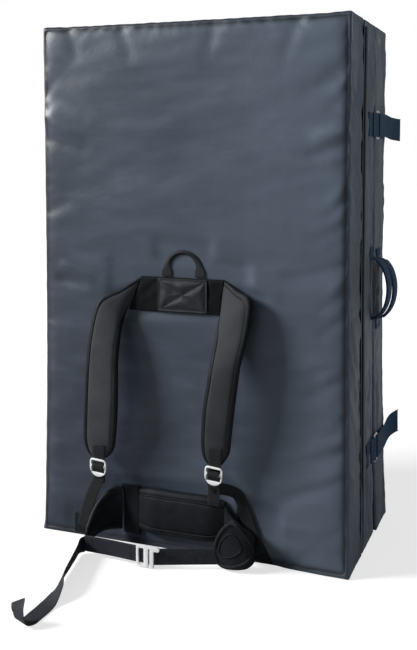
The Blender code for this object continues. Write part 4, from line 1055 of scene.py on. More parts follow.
def face_ply(left, right, low, high, lift, thickness, columns=40, rows=16, pucker=0.0, seed=0.0, quilt=()):
    """A fabric ply on the harness face. Left and right hold x at the low and at the high edge."""
    def place(along, across):
        start, end = (a + (b - a) * across for a, b in (left, right))
        x, z = start + (end - start) * along, low + (high - low) * across
        points = face_points(x, z, lift + thickness / 2)
        edge = np.minimum(np.minimum(along, 1 - along) * (right[0] - left[0]),
                          np.minimum(across, 1 - across) * (high - low))
        points[:, 1] -= pucker * np.clip(edge / 0.008, 0, 1) * (rolling(points, seed, (1, 1, 1), 0.02) + 0.7)
        if quilt:
            loose = np.full_like(x, 1.0)
            for x0, z0, x1, z1 in quilt:
                ahead = np.array((x1 - x0, z1 - z0)) / math.hypot(x1 - x0, z1 - z0)
                loose = np.minimum(loose, abs((x - x0) * ahead[1] - (z - z0) * ahead[0]))
            points[:, 1] -= 0.0034 * np.clip(loose / 0.011, 0, 1) ** 0.7
        return points, np.stack([x, z], 1)

    ply = laid_grid(columns, rows, place)
    modify(ply, "SOLIDIFY", thickness=thickness, offset=0, use_even_offset=True)
    modify(ply, "BEVEL", width=thickness * 0.3, segments=2, limit_method="ANGLE",
           angle_limit=math.radians(55))
    face_outwards(ply)
    return ply


band = face_ply((-0.1309, -0.1029), (0.0740, 0.0825), YOKE_BOTTOM, YOKE_TOP, FACE_GAP, HEAVY_WEBBING,
                columns=60, pucker=0.0016, seed=4.4)
dressed(band, yoke_nylon)
seams = [[(-0.121, 0.5045), (0.072, 0.5045)], [(-0.103, 0.5695), (0.079, 0.5695)],
         [(-0.068, 0.503), (-0.068, 0.571)], [(0.051, 0.503), (0.051, 0.571)],
         [(-0.1245, 0.504), (-0.0985, 0.570)], [(0.0705, 0.504), (0.0785, 0.570)]]
band = sew(band, [[on_face(x, z, 0.01) for x, z in line] for line in seams], dark_thread)
settle(band, "yoke_band_cloth", (), "front_panel", ["yoke_band"])

patch = face_ply((-0.063, -0.063), (0.046, 0.046), 0.503, 0.571, FACE_GAP + HEAVY_WEBBING + SEAT_GAP, WEBBING,
                 columns=54, rows=34, pucker=0.0013, seed=9.1,
                 quilt=((-0.0585, 0.5075, 0.0415, 0.5665), (-0.0585, 0.5665, 0.0415, 0.5075),
                        (-0.0585, 0.5075, -0.0585, 0.5665), (0.0415, 0.5075, 0.0415, 0.5665),
                        (-0.0585, 0.5075, 0.0415, 0.5075), (-0.0585, 0.5665, 0.0415, 0.5665)))
dressed(patch, patch_nylon)
patch = sew(patch, box_lines((-0.0585, 0.5075), (0.0415, 0.5665)),
            dark_thread)
settle(patch, "yoke_patch_cloth", (), "front_panel", ["yoke_patch"])

HAUL_LEGS = (-0.044, 0.028)
HAUL_RISE, HAUL_FOOT = 0.050, YOKE_TOP + 0.0025
HAUL_Y = -0.18665


def haul_rows():
    middle, reach = sum(HAUL_LEGS) / 2, (HAUL_LEGS[1] - HAUL_LEGS[0]) / 2
    rows = []
    for turn in range(-2, 31):
        angle = math.pi * min(max(turn / 28, 0), 1)
        round_share = math.sin(angle)
        rise = HAUL_RISE * (0.25 + 0.75 * round_share) if 0 <= turn <= 28 else 0
        x = middle - reach * math.cos(angle) * (1.0 if 0 <= turn <= 28 else 1.02)
        rise = rise if 0 <= turn <= 28 else (0.0 if turn in (-2, 30) else HAUL_RISE * 0.125)
        rows.append((x, HAUL_Y, HAUL_FOOT + rise, 0.022 - 0.0135 * round_share ** 0.35, 0.0040 * round_share))
    return rows


haul = haul_rows()
haul_places = np.array([row[:3] for row in haul])
haul_sides = unit(np.cross(np.gradient(haul_places, axis=0), (0, 1, 0)))
haul_run = run_of(haul_places)


def haul_place(along, across):
    n = np.round(along * (len(haul) - 1)).astype(int)
    width, fold = np.array([row[3:5] for row in haul])[n].T
    off = (across - 0.5) * width
    points = haul_places[n] + haul_sides[n] * off[:, None]
    points[:, 1] -= fold * (1 - abs(2 * across - 1)) - fold * 0.3
    return points, np.stack([haul_run[n], (across - 0.5) * 0.025], 1)


loop = laid_grid(len(haul) - 1, 8, haul_place)
modify(loop, "SOLIDIFY", thickness=0.0019, offset=0, use_even_offset=True)
modify(loop, "BEVEL", width=0.0005, segments=2, limit_method="ANGLE", angle_limit=math.radians(60))
face_outwards(loop)
dressed(loop, narrow_webbing)
for leg in HAUL_LEGS:
    rise = HAUL_FOOT + 0.004
    lines = [[(leg - 0.008, HAUL_Y - 0.01, rise), (leg + 0.008, HAUL_Y - 0.01, rise)],
             [(leg - 0.008, HAUL_Y - 0.01, rise + 0.004), (leg + 0.008, HAUL_Y - 0.01, rise + 0.004)]]
    loop = sew(loop, lines, dark_thread, step=0.0026)
settle(loop, "haul_loop_webbing", (), "haul_loop", ["haul_loop"], smooth=math.radians(60))
print("yoke faces", len(band.data.polygons) + len(patch.data.polygons),
      "haul loop faces", len(loop.data.polygons))

# %% [markdown]
# ## Shoulder straps
#
# A padded strap is foam between spacer mesh and lining, with its raw edges wrapped in a binding tape.
# Both edge lines come from the same table as the CAD model, and a cross-section is carried along them:
# a rounded binding at each side, a sewn groove inside it, and a gently crowned middle.
# The straps lift off the pad.

# %% Shoulder pads
STRAP_DROP, STRAP_THICKNESS, STRAP_STANDOFF = 0.374, 0.013, 0.044
LEFT_STRAP = (
    (-0.1565, 0.0056, -0.1990, 0.1900, 0.00, 0.45), (-0.2170, 0.0719, -0.2019, 0.2382, 0.20, 0.90),
    (-0.2764, 0.1352, -0.2001, 0.2875, 0.50, 1.00), (-0.2957, 0.2505, -0.1992, 0.3548, 0.70, 1.00),
    (-0.3049, 0.4149, -0.1993, 0.4663, 0.89, 1.00), (-0.3084, 0.5797, -0.1973, 0.5950, 1.00, 1.00),
    (-0.3131, 0.7313, -0.1983, 0.7163, 1.00, 1.00), (-0.3201, 0.8989, -0.2081, 0.8766, 0.89, 0.96),
    (-0.3141, 0.9797, -0.2195, 0.9655, 0.80, 0.80), (-0.2956, 1.0233, -0.2452, 1.0153, 0.73, 0.50),
)
RIGHT_STRAP = (
    (0.1262, 0.0055, 0.1131, 0.1858, 0.00, 0.45), (0.1714, 0.0494, 0.1097, 0.2504, 0.20, 0.90),
    (0.2179, 0.0898, 0.1076, 0.3189, 0.50, 1.00), (0.2203, 0.2004, 0.1028, 0.3945, 0.70, 1.00),
    (0.2102, 0.3228, 0.0982, 0.4650, 0.89, 1.00), (0.1946, 0.4422, 0.0920, 0.5371, 1.00, 1.00),
    (0.1786, 0.6488, 0.0782, 0.6827, 1.00, 1.00), (0.1654, 0.8128, 0.0703, 0.8319, 0.89, 0.96),
    (0.1563, 0.9079, 0.0718, 0.9312, 0.80, 0.80), (0.1330, 0.9740, 0.0873, 0.9868, 0.73, 0.50),
)
# Share of the half width, share of the thickness, and 1 where the binding is
STRAP_SECTION = (
    (-1.00, 0.40, 1), (-0.985, 0.60, 1), (-0.94, 0.76, 1), (-0.87, 0.86, 1), (-0.76, 0.88, 1),
    (-0.73, 0.79, 0),
    (-0.70, 0.84, 0), (-0.65, 0.91, 0), (-0.50, 0.97, 0), (-0.25, 1.00, 0), (0.00, 1.01, 0), (0.25, 1.00, 0),
    (0.50, 0.97, 0), (0.65, 0.91, 0), (0.70, 0.84, 0), (0.73, 0.79, 1), (0.76, 0.88, 1), (0.87, 0.86, 1),
    (0.94, 0.76, 1), (0.985, 0.60, 1), (1.00, 0.40, 1), (0.985, 0.20, 1), (0.94, 0.06, 1), (0.87, 0.00, 1),
    (0.78, 0.02, 1), (0.75, 0.05, 2), (0.40, 0.00, 2), (0.00, 0.00, 2), (-0.40, 0.00, 2), (-0.75, 0.05, 2),
    (-0.78, 0.02, 1), (-0.87, 0.00, 1), (-0.94, 0.06, 1), (-0.985, 0.20, 1),
)


def strap_rows(shares, steps):
    """Both edges of the pad's back, its thickness and the outward direction."""
    knots = []
    for a, b, c, d, e, f in shares:
        lift = FACE_GAP + e * STRAP_STANDOFF
        outer = on_face(a * PANEL_WIDTH, YOKE_TOP - b * STRAP_DROP, lift)
        inner = on_face(c * PANEL_WIDTH, YOKE_TOP - d * STRAP_DROP, lift)
        knots.append((*outer, *inner, STRAP_THICKNESS * f, 0, -1, 0))
    return smooth_rows(knots, steps)


strap_pads = {}
for side, shares, face in (("left", LEFT_STRAP, spacer_mesh), ("right", RIGHT_STRAP, ribbed_face)):
    rows = strap_rows(shares, 9)
    pad = dressed(quilted(rows, STRAP_SECTION), face, binding, harness_nylon)
    edge_lines = []
    for share in (0.125, 0.875):
        line = rows[4:-3, 0:3] * (1 - share) + rows[4:-3, 3:6] * share
        edge_lines.append(line + (0, -STRAP_THICKNESS, 0))
    pad = sew(pad, edge_lines, dark_thread, lift=0.0)
    settle(pad, f"{side}_shoulder_pad_cloth", (), None, [f"{side}_shoulder_pad"], smooth=math.radians(50))
    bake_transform(pad)
    strap_pads[side] = pad
    print(pad.name, len(pad.data.polygons), "faces")

# %% [markdown]
# ## Ladder locks, tabs and adjuster webbings
#
# A short webbing tab is sewn to the end of each pad and holds a metal ladder lock. The adjuster webbing
# comes up behind the lock, over its middle bar and down behind its lip to an anchor near the ground.
# The locks are stampings: outline and slots are laid as loops, filled, made thick and rounded at the edges.
# The adjuster is two pieces that meet behind the lock.

# %% Metal pieces
def from_cad(node, name, body, finish, edge, smooth=math.radians(35), segments=3):
    """A copy of a CAD node: its loose triangles are merged into a closed shape and its edges are rounded."""
    start_clean()
    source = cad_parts[node]
    piece = bpy.data.objects.new(name, source.data.copy())
    piece.matrix_world = source.matrix_world
    bpy.context.collection.objects.link(piece)
    piece.data.materials.clear()
    piece.select_set(True)
    bpy.context.view_layer.objects.active = piece
    bpy.ops.object.mode_set(mode="EDIT")
    bpy.ops.mesh.select_all(action="SELECT")
    bpy.ops.mesh.remove_doubles(threshold=0.00002)
    bpy.ops.mesh.dissolve_limited(angle_limit=math.radians(1))
    bpy.ops.object.mode_set(mode="OBJECT")
    bpy.ops.object.transform_apply(location=True, rotation=True, scale=True)
    if edge:
        modify(piece, "BEVEL", width=edge, segments=segments, limit_method="ANGLE",
               angle_limit=math.radians(40))
    face_outwards(piece)
    dressed(piece, finish)
    return settle(piece, name, (), body, [node], smooth=smooth)


LOCK_TOP_BAR, LOCK_TOP_SLOT, LOCK_MIDDLE_BAR, LOCK_LOW_SLOT, LOCK_LIP = 0.0044, 0.0086, 0.0060, 0.0115, 0.0095
LOCK_HEIGHT = LOCK_TOP_BAR + LOCK_TOP_SLOT + LOCK_MIDDLE_BAR + LOCK_LOW_SLOT + LOCK_LIP
LOCK_THICKNESS = 0.0032
OUT = Vector((0, -1, 0))


def arc(centre, across, down, start, end, steps):
    """Places on an arc of an ellipse, from one angle to another."""
    return [(centre[0] + across * math.cos(a), centre[1] + down * math.sin(a))
            for a in np.linspace(start, end, steps)]


def plate(loops, thickness, place, directions, edge):
    """A metal plate. Circles are laid along the loops, filled, made thick and rounded at their edges."""
    across, down, front = directions
    rings = []
    for loop_places in loops:
        start_clean()
        bpy.ops.mesh.primitive_circle_add(vertices=len(loop_places), radius=0.01)
        ring = bpy.context.object
        move_points(ring, [(u, v, 0) for u, v in loop_places])
        rings.append(ring)
    piece = joined(*rings)
    bpy.ops.object.mode_set(mode="EDIT")
    bpy.ops.mesh.select_all(action="SELECT")
    bpy.ops.mesh.fill()
    bpy.ops.object.mode_set(mode="OBJECT")
    modify(piece, "SOLIDIFY", thickness=thickness, offset=0)
    modify(piece, "BEVEL", width=edge, segments=3, limit_method="ANGLE", angle_limit=math.radians(40))
    turned = Matrix((across, down, front)).transposed()
    move_points(piece, [place + turned @ Vector(p) for p in points_of(piece)])
    face_outwards(piece)
    return piece


def lock_loops():
    """Outline, upper slot and lower slot of a ladder lock, across and down from the middle of its top."""
    half, foot = 0.0190, 0.0205
    outline = (arc((half - 0.008, 0.008), 0.008, 0.008, -math.pi / 2, 0, 7)
               + arc((0, foot), half, LOCK_HEIGHT - foot, 0, math.pi, 25)
               + arc((0.008 - half, 0.008), 0.008, 0.008, math.pi, 1.5 * math.pi, 7))
    inner, bend = half - 0.0040, 0.0018
    slots = []
    for top, low in ((LOCK_TOP_BAR, LOCK_TOP_BAR + LOCK_TOP_SLOT),
                     (LOCK_TOP_BAR + LOCK_TOP_SLOT + LOCK_MIDDLE_BAR, LOCK_HEIGHT - LOCK_LIP)):
        loop = []
        for x, y, start in ((inner - bend, top + bend, -0.5), (inner - bend, low - bend, 0.0),
                            (bend - inner, low - bend, 0.5), (bend - inner, top + bend, 1.0)):
            loop += arc((x, y), bend, bend, start * math.pi, (start + 0.5) * math.pi, 5)
        slots.append(loop)
    return [outline, *slots]


print("lock outline:", len(lock_loops()[0]), "places")

# %% Tabs and adjuster webbings
LEFT_ADJUSTER = ((-0.3187, 0.0845, 0.36), (-0.3476, 0.0433, 0.10), (-0.3600, 0.0200, 0.00))
RIGHT_ADJUSTER = ((0.1620, 0.1280, 0.06), (0.1900, 0.0850, 0.00), (0.2120, 0.0500, 0.00),
                  (0.2300, 0.0200, 0.00))


def pad_end(shares):
    """The last places of the pad's front, as the CAD model finds them, and the lock's directions."""
    rows = strap_rows(shares, 2)
    levels = np.array([row[6] for row in rows])
    for n in range(0, len(levels) - 2, 2):
        levels[n + 1] = (levels[n] + levels[n + 2]) / 2
    middles = [Vector(m) for m in (rows[:, :3] + rows[:, 3:6]) / 2]
    halves = [Vector(h) for h in (rows[:, :3] - rows[:, 3:6]) / 2]
    fronts = []
    for n in range(-4, 0):
        along = (middles[min(n + 1, -1)] - middles[n - 1]).normalized()
        normal = halves[n].cross(along).normalized()
        fronts.append((middles[n], halves[n].normalized(), normal if normal.dot(OUT) > 0 else -normal,
                       levels[n]))
    down = (middles[-1] - middles[-5]).normalized()
    front = (OUT - OUT.dot(down) * down).normalized()
    return fronts, down, front, down.cross(front).normalized()


for side, shares, ways, free_end in (("left", LEFT_STRAP, LEFT_ADJUSTER, 0.9),
                                     ("right", RIGHT_STRAP, RIGHT_ADJUSTER, 1.7)):
    fronts, down, front, across = pad_end(shares)
    end, _, _, end_level = fronts[-1]
    seat = FACE_GAP + WEBBING / 2
    bar = end + down * 0.001 + front * (end_level + seat + SEAT_GAP)
    places = [place + normal * (level + seat) for place, _, normal, level in fronts[:-1]]
    widths = [wide if wide.dot(across) > 0 else -wide for _, wide, _, _ in fronts[:-1]]
    places += [bar, bar + down * (LOCK_TOP_BAR + LOCK_TOP_SLOT / 2)]
    knots = [(*p, *w, 0.028) for p, w in zip(places, [*widths, across, across])]
    tab = dressed(webbing(smooth_rows(knots, 5), WEBBING), narrow_webbing)
    bars = []
    for share in (0.18, 0.30, 0.72):
        middle = places[0].lerp(places[3], share)
        bars.append([middle - across * 0.0115 + front * 0.01, middle + across * 0.0115 + front * 0.01])
    tab = sew(tab, bars, dark_thread, step=0.0022)
    settle(tab, f"{side}_strap_tab_webbing", (), None, [f"{side}_strap_tab"], smooth=math.radians(50))
    tuple(places[2])
    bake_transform(tab)

    lock_top = bar + front * (WEBBING / 2 + SEAT_GAP + LOCK_THICKNESS / 2)
    lock = dressed(plate(lock_loops(), LOCK_THICKNESS, lock_top, (across, down, front), 0.0012), bright_metal)
    settle(lock, f"{side}_ladder_lock_metal", (), f"{side}_lock", [f"{side}_ladder_lock"],
           smooth=math.radians(35))
    wrap = SEAT_GAP + WEBBING / 2
    ply = LOCK_THICKNESS / 2 + wrap
    hang = ply + 0.0034
    high, edge = LOCK_TOP_BAR + LOCK_TOP_SLOT, LOCK_THICKNESS / 2
    low = high + LOCK_MIDDLE_BAR
    turns = ((LOCK_HEIGHT * free_end + low, -hang), (low, -hang), (high, -hang + wrap / 2),
             (high - wrap, -ply),
             (high - wrap, edge), (high, ply), (low, ply), (low + wrap, edge), (low + wrap, -edge),
             (low + 2 * wrap, -ply), (LOCK_HEIGHT, -ply), (LOCK_HEIGHT + high / 2, -ply))
    passed = [lock_top + down * fall + front * rise for fall, rise in turns]
    lift = FACE_GAP + HEAVY_WEBBING + SEAT_GAP + WEBBING / 2
    route = [on_face(a * PANEL_WIDTH, b * PANEL_HEIGHT, lift + c * STRAP_STANDOFF) for a, b, c in ways]
    far = smooth_rows([passed[-1], *route], 8)
    widths = [tuple(across)] * (len(passed) - 1)
    flat = np.cross(np.gradient(far, axis=0), tuple(OUT))
    flat = unit(flat * np.sign(flat @ np.array(across))[:, None])
    flat[0] = across
    near = np.array([(*p, *across, 0.025) for p in passed])
    tail = np.array([(*p, *w, 0.025) for p, w in zip(far, flat)])
    loop = dressed(webbing(smooth_rows(near, 4), WEBBING), narrow_webbing)
    settle(loop, f"{side}_adjuster_loop", (), None, smooth=math.radians(60))
    tuple(passed[-1])
    tuple(passed[-3])
    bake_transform(loop)
    adjuster = dressed(webbing(tail, WEBBING), narrow_webbing)
    foot = route[-1]
    ahead = (route[-1] - route[-2]).normalized()
    wide = Vector(flat[-1])
    corners = [foot - ahead * 0.022 + wide * 0.009, foot - ahead * 0.022 - wide * 0.009,
               foot - ahead * 0.003 - wide * 0.009, foot - ahead * 0.003 + wide * 0.009]
    lines = [[*corners, corners[0]], [corners[0], corners[2]], [corners[1], corners[3]]]
    adjuster = sew(adjuster, [[p + OUT * 0.01 for p in line] for line in lines], dark_thread, step=0.0030)
    settle(adjuster, f"{side}_adjuster_strap", (), None, [f"{side}_adjuster_webbing"],
           smooth=math.radians(60))
    tuple(route[1])
    tuple(passed[-1])
    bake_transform(adjuster)
    print(side, "lock top", [round(v, 4) for v in lock_top], "adjuster faces", len(adjuster.data.polygons))

# %% Anchors of the adjuster webbings
for name, left, right, high, seed in (("left_lower_anchor", (-0.265, -0.265), (-0.229, -0.229), 0.048, 2.2),
                                      ("right_lower_anchor", (0.122, 0.108), (0.184, 0.126), 0.110, 6.1)):
    anchor = dressed(face_ply(left, right, 0.006, high, FACE_GAP, HEAVY_WEBBING, columns=16,
                              pucker=0.0002, seed=seed),
                     harness_nylon)
    x0, x1 = left[0] + 0.004, right[0] - 0.004
    slant = left[1] - left[0], right[1] - right[0]
    ring = [(x0, 0.010), (x1, 0.010), (x1 + slant[1] * 0.92, high - 0.005),
            (x0 + slant[0] * 0.92 + 0.001, high - 0.005),
            (x0, 0.010)]
    anchor = sew(anchor, [[on_face(x, z, 0.01) for x, z in ring]], dark_thread)
    settle(anchor, f"{name}_cloth", (), "front_panel", [name])
print("anchors sewn")

# %% [markdown]
# ## Hip belt
#
# A thick lumbar pad is sewn to the face, with a piping along its upper and lower edge. Beside it a fabric
# sleeve lets the belt slide behind. A padded fin stands out at each side, bound at its rim, and a webbing
# runs from each fin to the hook buckle. The spare webbing at the left falls to the ground.

# %% Lumbar pad and sleeve
LUMBAR_LEFT, LUMBAR_RIGHT = -0.106, 0.084
LUMBAR_TOP, LUMBAR_BOTTOM, LUMBAR_THICKNESS = 0.129, 0.033, 0.020
LUMBAR_SECTION = (
    (-1.00, 0.30, 0), (-0.99, 0.55, 0), (-0.95, 0.74, 0), (-0.88, 0.86, 0), (-0.80, 0.93, 0),
    (-0.74, 0.90, 0),
    (-0.71, 0.82, 0), (-0.68, 0.90, 0), (-0.58, 0.97, 0), (-0.30, 1.00, 0), (0.00, 1.01, 0), (0.30, 1.00, 0),
    (0.58, 0.97, 0), (0.66, 0.91, 0), (0.69, 0.82, 0), (0.72, 0.90, 0), (0.80, 0.93, 0), (0.88, 0.86, 0),
    (0.95, 0.74, 0), (0.99, 0.55, 0), (1.00, 0.30, 0), (0.97, 0.08, 0), (0.88, 0.00, 0), (0.00, 0.00, 0),
    (-0.88, 0.00, 0), (-0.97, 0.08, 0),
)
middle_z = (LUMBAR_TOP + LUMBAR_BOTTOM) / 2
half_z = (LUMBAR_TOP - LUMBAR_BOTTOM) / 2
knots = []
for n, (tall, thick) in enumerate(((0.90, 0.55), (1.0, 0.95), (1.0, 1.0), (1.0, 1.0), (1.0, 1.0),
                                   (0.98, 0.92),
                                   (0.84, 0.45))):
    place = on_face(LUMBAR_LEFT + (LUMBAR_RIGHT - LUMBAR_LEFT) * n / 6, middle_z, FACE_GAP)
    up = Vector((0, 0, half_z * tall))
    knots.append((*(place + up), *(place - up), LUMBAR_THICKNESS * thick, 0, -1, 0))
lumbar_rows = smooth_rows(knots, 9)
lumbar = quilted(lumbar_rows, LUMBAR_SECTION)
points = points_of(lumbar)
depth = np.clip((FACE_Y - points[:, 1]) / LUMBAR_THICKNESS, 0, 1)
points[:, 1] += depth * 0.0012 * rolling(points, 5.2, (1, 1, 1), 0.035)
move_points(lumbar, points)
dressed(lumbar, harness_nylon)
pipings = []
for share in (0.145, 0.855):
    line = lumbar_rows[2:-2, :3] * (1 - share) + lumbar_rows[2:-2, 3:6] * share
    line[:, 1] -= lumbar_rows[2:-2, 6] * 0.90
    knots = with_side(line, (0, 0, 1), 0.0034)
    pipings.append(dressed(webbing(knots, 0.0030, columns=2), binding))
lumbar = joined(lumbar, *pipings)
settle(lumbar, "lumbar_pad_cloth", (), "front_panel", ["lumbar_pad"], smooth=math.radians(50))

SLEEVE_RIGHT = LUMBAR_LEFT - SEAT_GAP
SLEEVE_LEFT = SLEEVE_RIGHT - 0.040
SLEEVE_SECTION = ((-1, 0.10, 0), (-1, 0.42, 0), (-0.92, 0.62, 0), (-0.7, 0.70, 0), (-0.3, 0.72, 0),
                  (0.2, 0.78, 0),
                  (0.6, 0.95, 0), (0.85, 1.0, 0), (0.97, 0.85, 0), (1.0, 0.5, 0), (0.97, 0.15, 0),
                  (0.8, 0, 0),
                  (0, 0, 0), (-0.8, 0, 0))
knots = []
for z, left, thick in ((0.127, -0.004, 1.25), (0.112, 0, 1.0), (0.075, 0.002, 0.85), (0.040, 0.001, 0.95),
                       (0.024, 0.0, 0.8)):
    knots.append((*on_face(SLEEVE_RIGHT, z, FACE_GAP), *on_face(SLEEVE_LEFT + left, z, FACE_GAP),
                  0.007 * thick, 0, -1, 0))
sleeve = dressed(quilted(smooth_rows(knots, 6), SLEEVE_SECTION), harness_nylon)
lines = [[(-0.143, z, 0), (-0.110, z, 0)] for z in (0.030, 0.121)]
sleeve = sew(sleeve, [[on_face(x, z, 0.02) for x, z, _ in line] for line in lines], dark_thread)
settle(sleeve, "belt_sleeve_cloth", (), "front_panel", ["belt_sleeve"], smooth=math.radians(60))
print("lumbar faces", len(lumbar.data.polygons), "sleeve faces", len(sleeve.data.polygons))

# %% Hip fins
BELT_FRONT, FIN_THICKNESS = 0.098, 0.012
LEFT_FIN = (
    (0.0000, 0.030, 0.600, 0.96, 0.80), (-0.0290, 0.110, 0.585, 0.93, 1.00),
    (-0.0530, 0.290, 0.540, 0.82, 1.00),
    (-0.0680, 0.520, 0.440, 0.64, 0.96), (-0.0710, 0.760, 0.300, 0.46, 0.84),
    (-0.0670, 0.880, 0.225, 0.38, 0.62),
)
RIGHT_FIN = (
    (0.0000, 0.030, 0.560, 0.84, 0.80), (0.0435, 0.100, 0.420, 0.66, 0.96),
    (0.0860, 0.210, 0.360, 0.56, 0.75),
    (0.1040, 0.345, 0.340, 0.56, 0.62), (0.0885, 0.530, 0.375, 0.82, 1.00),
    (0.0475, 0.585, 0.425, 1.05, 1.00),
    (0.0125, 0.560, 0.350, 0.83, 0.92), (-0.0050, 0.545, 0.300, 0.58, 0.75),
    (-0.0120, 0.540, 0.280, 0.26, 0.55),
)
LEFT_FIN_ROOT = LUMBAR_LEFT - SEAT_GAP - 0.040 - 0.0022
RIGHT_FIN_ROOT = LUMBAR_RIGHT + 0.0022
FIN_SECTION = (
    (-1.00, 0.40, 1), (-0.98, 0.62, 1), (-0.92, 0.80, 1), (-0.83, 0.88, 1), (-0.75, 0.86, 1),
    (-0.72, 0.72, 0),
    (-0.68, 0.76, 0), (-0.58, 0.92, 0), (-0.30, 1.00, 0), (0.00, 1.02, 0), (0.30, 1.00, 0), (0.58, 0.92, 0),
    (0.68, 0.76, 0), (0.72, 0.72, 1), (0.75, 0.86, 1), (0.83, 0.88, 1), (0.92, 0.80, 1), (0.98, 0.62, 1),
    (1.00, 0.40, 1), (0.98, 0.18, 1), (0.92, 0.09, 1), (0.80, 0.06, 1), (0.72, 0.08, 0), (0.00, 0.06, 0),
    (-0.72, 0.08, 0), (-0.80, 0.06, 1), (-0.92, 0.09, 1), (-0.98, 0.18, 1),
)


def fin_rows(root, shares, up):
    """Upper and lower edge of the fin's back, its thickness, and which way its front looks."""
    knots = []
    for a, b, c, d, e in shares:
        place = on_face(root + a * PANEL_WIDTH, LUMBAR_BOTTOM, FACE_GAP + b * BELT_FRONT)
        half = Vector((0, 0, d * (LUMBAR_TOP - LUMBAR_BOTTOM) / 2))
        place.z = c * LUMBAR_TOP
        knots.append((*(place + half), *(place - half), e * FIN_THICKNESS, 0, 0, 0))
    rows = smooth_rows(knots, 8)
    ahead = np.gradient((rows[:, :3] + rows[:, 3:6]) / 2, axis=0)
    rows[:, 7:10] = np.cross((0, 0, up), ahead)
    return rows


def fin_ring(rows, centre, reach, height, radius, finish):
    """A raised ring on the fin's back, which is what shows where the fin is folded round.

    Centre and reach count rows, and height is a share of the half height.
    """
    count = np.arange(len(rows))
    path, normals = [], []
    for n in range(48):
        angle = math.tau * n / 48
        at = centre + reach * math.cos(angle)
        row = np.array([np.interp(at, count, column) for column in rows.T])
        outward = row[7:10] / np.linalg.norm(row[7:10])
        half = (row[:3] - row[3:6]) / 2 * height * math.sin(angle)
        path.append((row[:3] + row[3:6]) / 2 + half + outward * radius * 0.5)
        normals.append(outward)
    return dressed(round_loop(path, np.array(normals), radius), finish)


for side, root, shares, up in (("left", LEFT_FIN_ROOT, LEFT_FIN, 1),
                               ("right", RIGHT_FIN_ROOT, RIGHT_FIN, -1)):
    rows = fin_rows(root, shares, up)
    fin = dressed(quilted(rows, FIN_SECTION), harness_nylon, binding)
    if side == "right":
        fin = joined(fin, fin_ring(rows, 44.5, 17.5, 0.90, 0.0042, binding),
                     fin_ring(rows, 43.5, 8.0, 0.48, 0.0017, harness_nylon))
    seams = []
    for share in (0.135, 0.865):
        line = rows[4:-3, :3] * (1 - share) + rows[4:-3, 3:6] * share
        seams.append(line + unit(rows[4:-3, 7:10]) * FIN_THICKNESS)
    fin = sew(fin, seams, dark_thread, lift=0.0)
    settle(fin, f"{side}_hip_fin_cloth", (), f"{side}_fin", [f"{side}_hip_fin"], smooth=math.radians(50))
    print(fin.name, len(fin.data.polygons), "faces")

# %% Belt webbings and hook
HOOK_LEFT, HOOK_THICKNESS, BELT_HEIGHT = -0.072, 0.0034, 0.0255
BELT_WIDTH = 0.033


def belt_point(x, out, z):
    place = on_face(x, LUMBAR_BOTTOM, out)
    place.z = z
    return place


lap = FACE_GAP + SEAT_GAP + WEBBING / 2
behind = BELT_FRONT - HOOK_THICKNESS / 2 - SEAT_GAP - WEBBING / 2
left_end = belt_point(LEFT_FIN_ROOT + LEFT_FIN[-1][0] * PANEL_WIDTH,
                      LEFT_FIN[-1][1] * BELT_FRONT + lap, BELT_HEIGHT)
at_bar = belt_point(HOOK_LEFT, behind, BELT_HEIGHT)
route = [left_end, (left_end + at_bar) / 2 - OUT * WEBBING, at_bar,
         belt_point(HOOK_LEFT + 0.022, behind, BELT_HEIGHT)]
left_belt = dressed(webbing(smooth_rows(with_side(route, (0, 0, 1), BELT_WIDTH), 10), WEBBING), black_webbing)
bars = [[(x, -0.30, 0.010), (x, -0.30, 0.037)] for x in (-0.090, -0.086, -0.176)]
left_belt = sew(left_belt, bars, dark_thread, step=0.0024)
settle(left_belt, "left_belt_strap", (), "left_belt", ["left_belt_webbing"], smooth=math.radians(50))
from_cad("hook_buckle", "hook_buckle_metal", "hook", bright_metal, 0.0009)

right_end = belt_point(RIGHT_FIN_ROOT, 0.54 * BELT_FRONT + FACE_GAP - SEAT_GAP - WEBBING / 2, 0.027)
groove = HOOK_LEFT + 0.0050 + 0.0115 + 0.0095 + 0.0018
folded = [belt_point(x, out, 0.0245) for x, out in
          ((groove + 0.0018 + 0.0080, behind), (groove + WEBBING, behind), (groove, behind + WEBBING),
           (groove, BELT_FRONT))]
route = [right_end, (right_end + folded[0]) / 2, *folded]
right_belt = dressed(webbing(smooth_rows(with_side(route, (0, 0, 1), BELT_WIDTH), 10), WEBBING),
                     black_webbing)
bars = [[(x, -0.30, 0.010), (x, -0.30, 0.036)] for x in (-0.022, -0.018, 0.060)]
right_belt = sew(right_belt, bars, dark_thread, step=0.0024)
settle(right_belt, "right_belt_strap", (), None, ["right_belt_webbing"], smooth=math.radians(50))
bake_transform(right_belt)

TAIL_REACH = 0.385
TAIL = (
    (-0.2898, 0.2140, 0.62, 0.00), (-0.2975, 0.247, 0.62, 0.10), (-0.2850, 0.325, 0.59, 0.18),
    (-0.2650, 0.460, 0.57, 0.25), (-0.2430, 0.608, 0.56, 0.35), (-0.2300, 0.690, 0.40, 0.70),
    (-0.2260, 0.787, 0.090, 1.0), (-0.2260, 0.894, 0.060, 1.0), (-0.2280, 0.955, 0.075, 1.0),
    (-0.2340, 1.000, 0.30, 1.0), (-0.2420, 1.000, 0.85, 1.0), (-0.2500, 0.975, 1.25, 1.0),
)
TAIL_FLAT_SIDE = Vector((0.90, -0.42, 0)).normalized()
knots = []
for a, b, c, turn in TAIL:
    place = on_face(a * PANEL_WIDTH, LUMBAR_BOTTOM, b * TAIL_REACH)
    knots.append((place.x, place.y, c * BELT_WIDTH, turn * math.pi / 2))
rows = smooth_rows(knots, 9)
ahead = unit(np.gradient(rows[:, :3], axis=0))
turn = np.clip(rows[:, 3:4], 0, math.pi / 2)
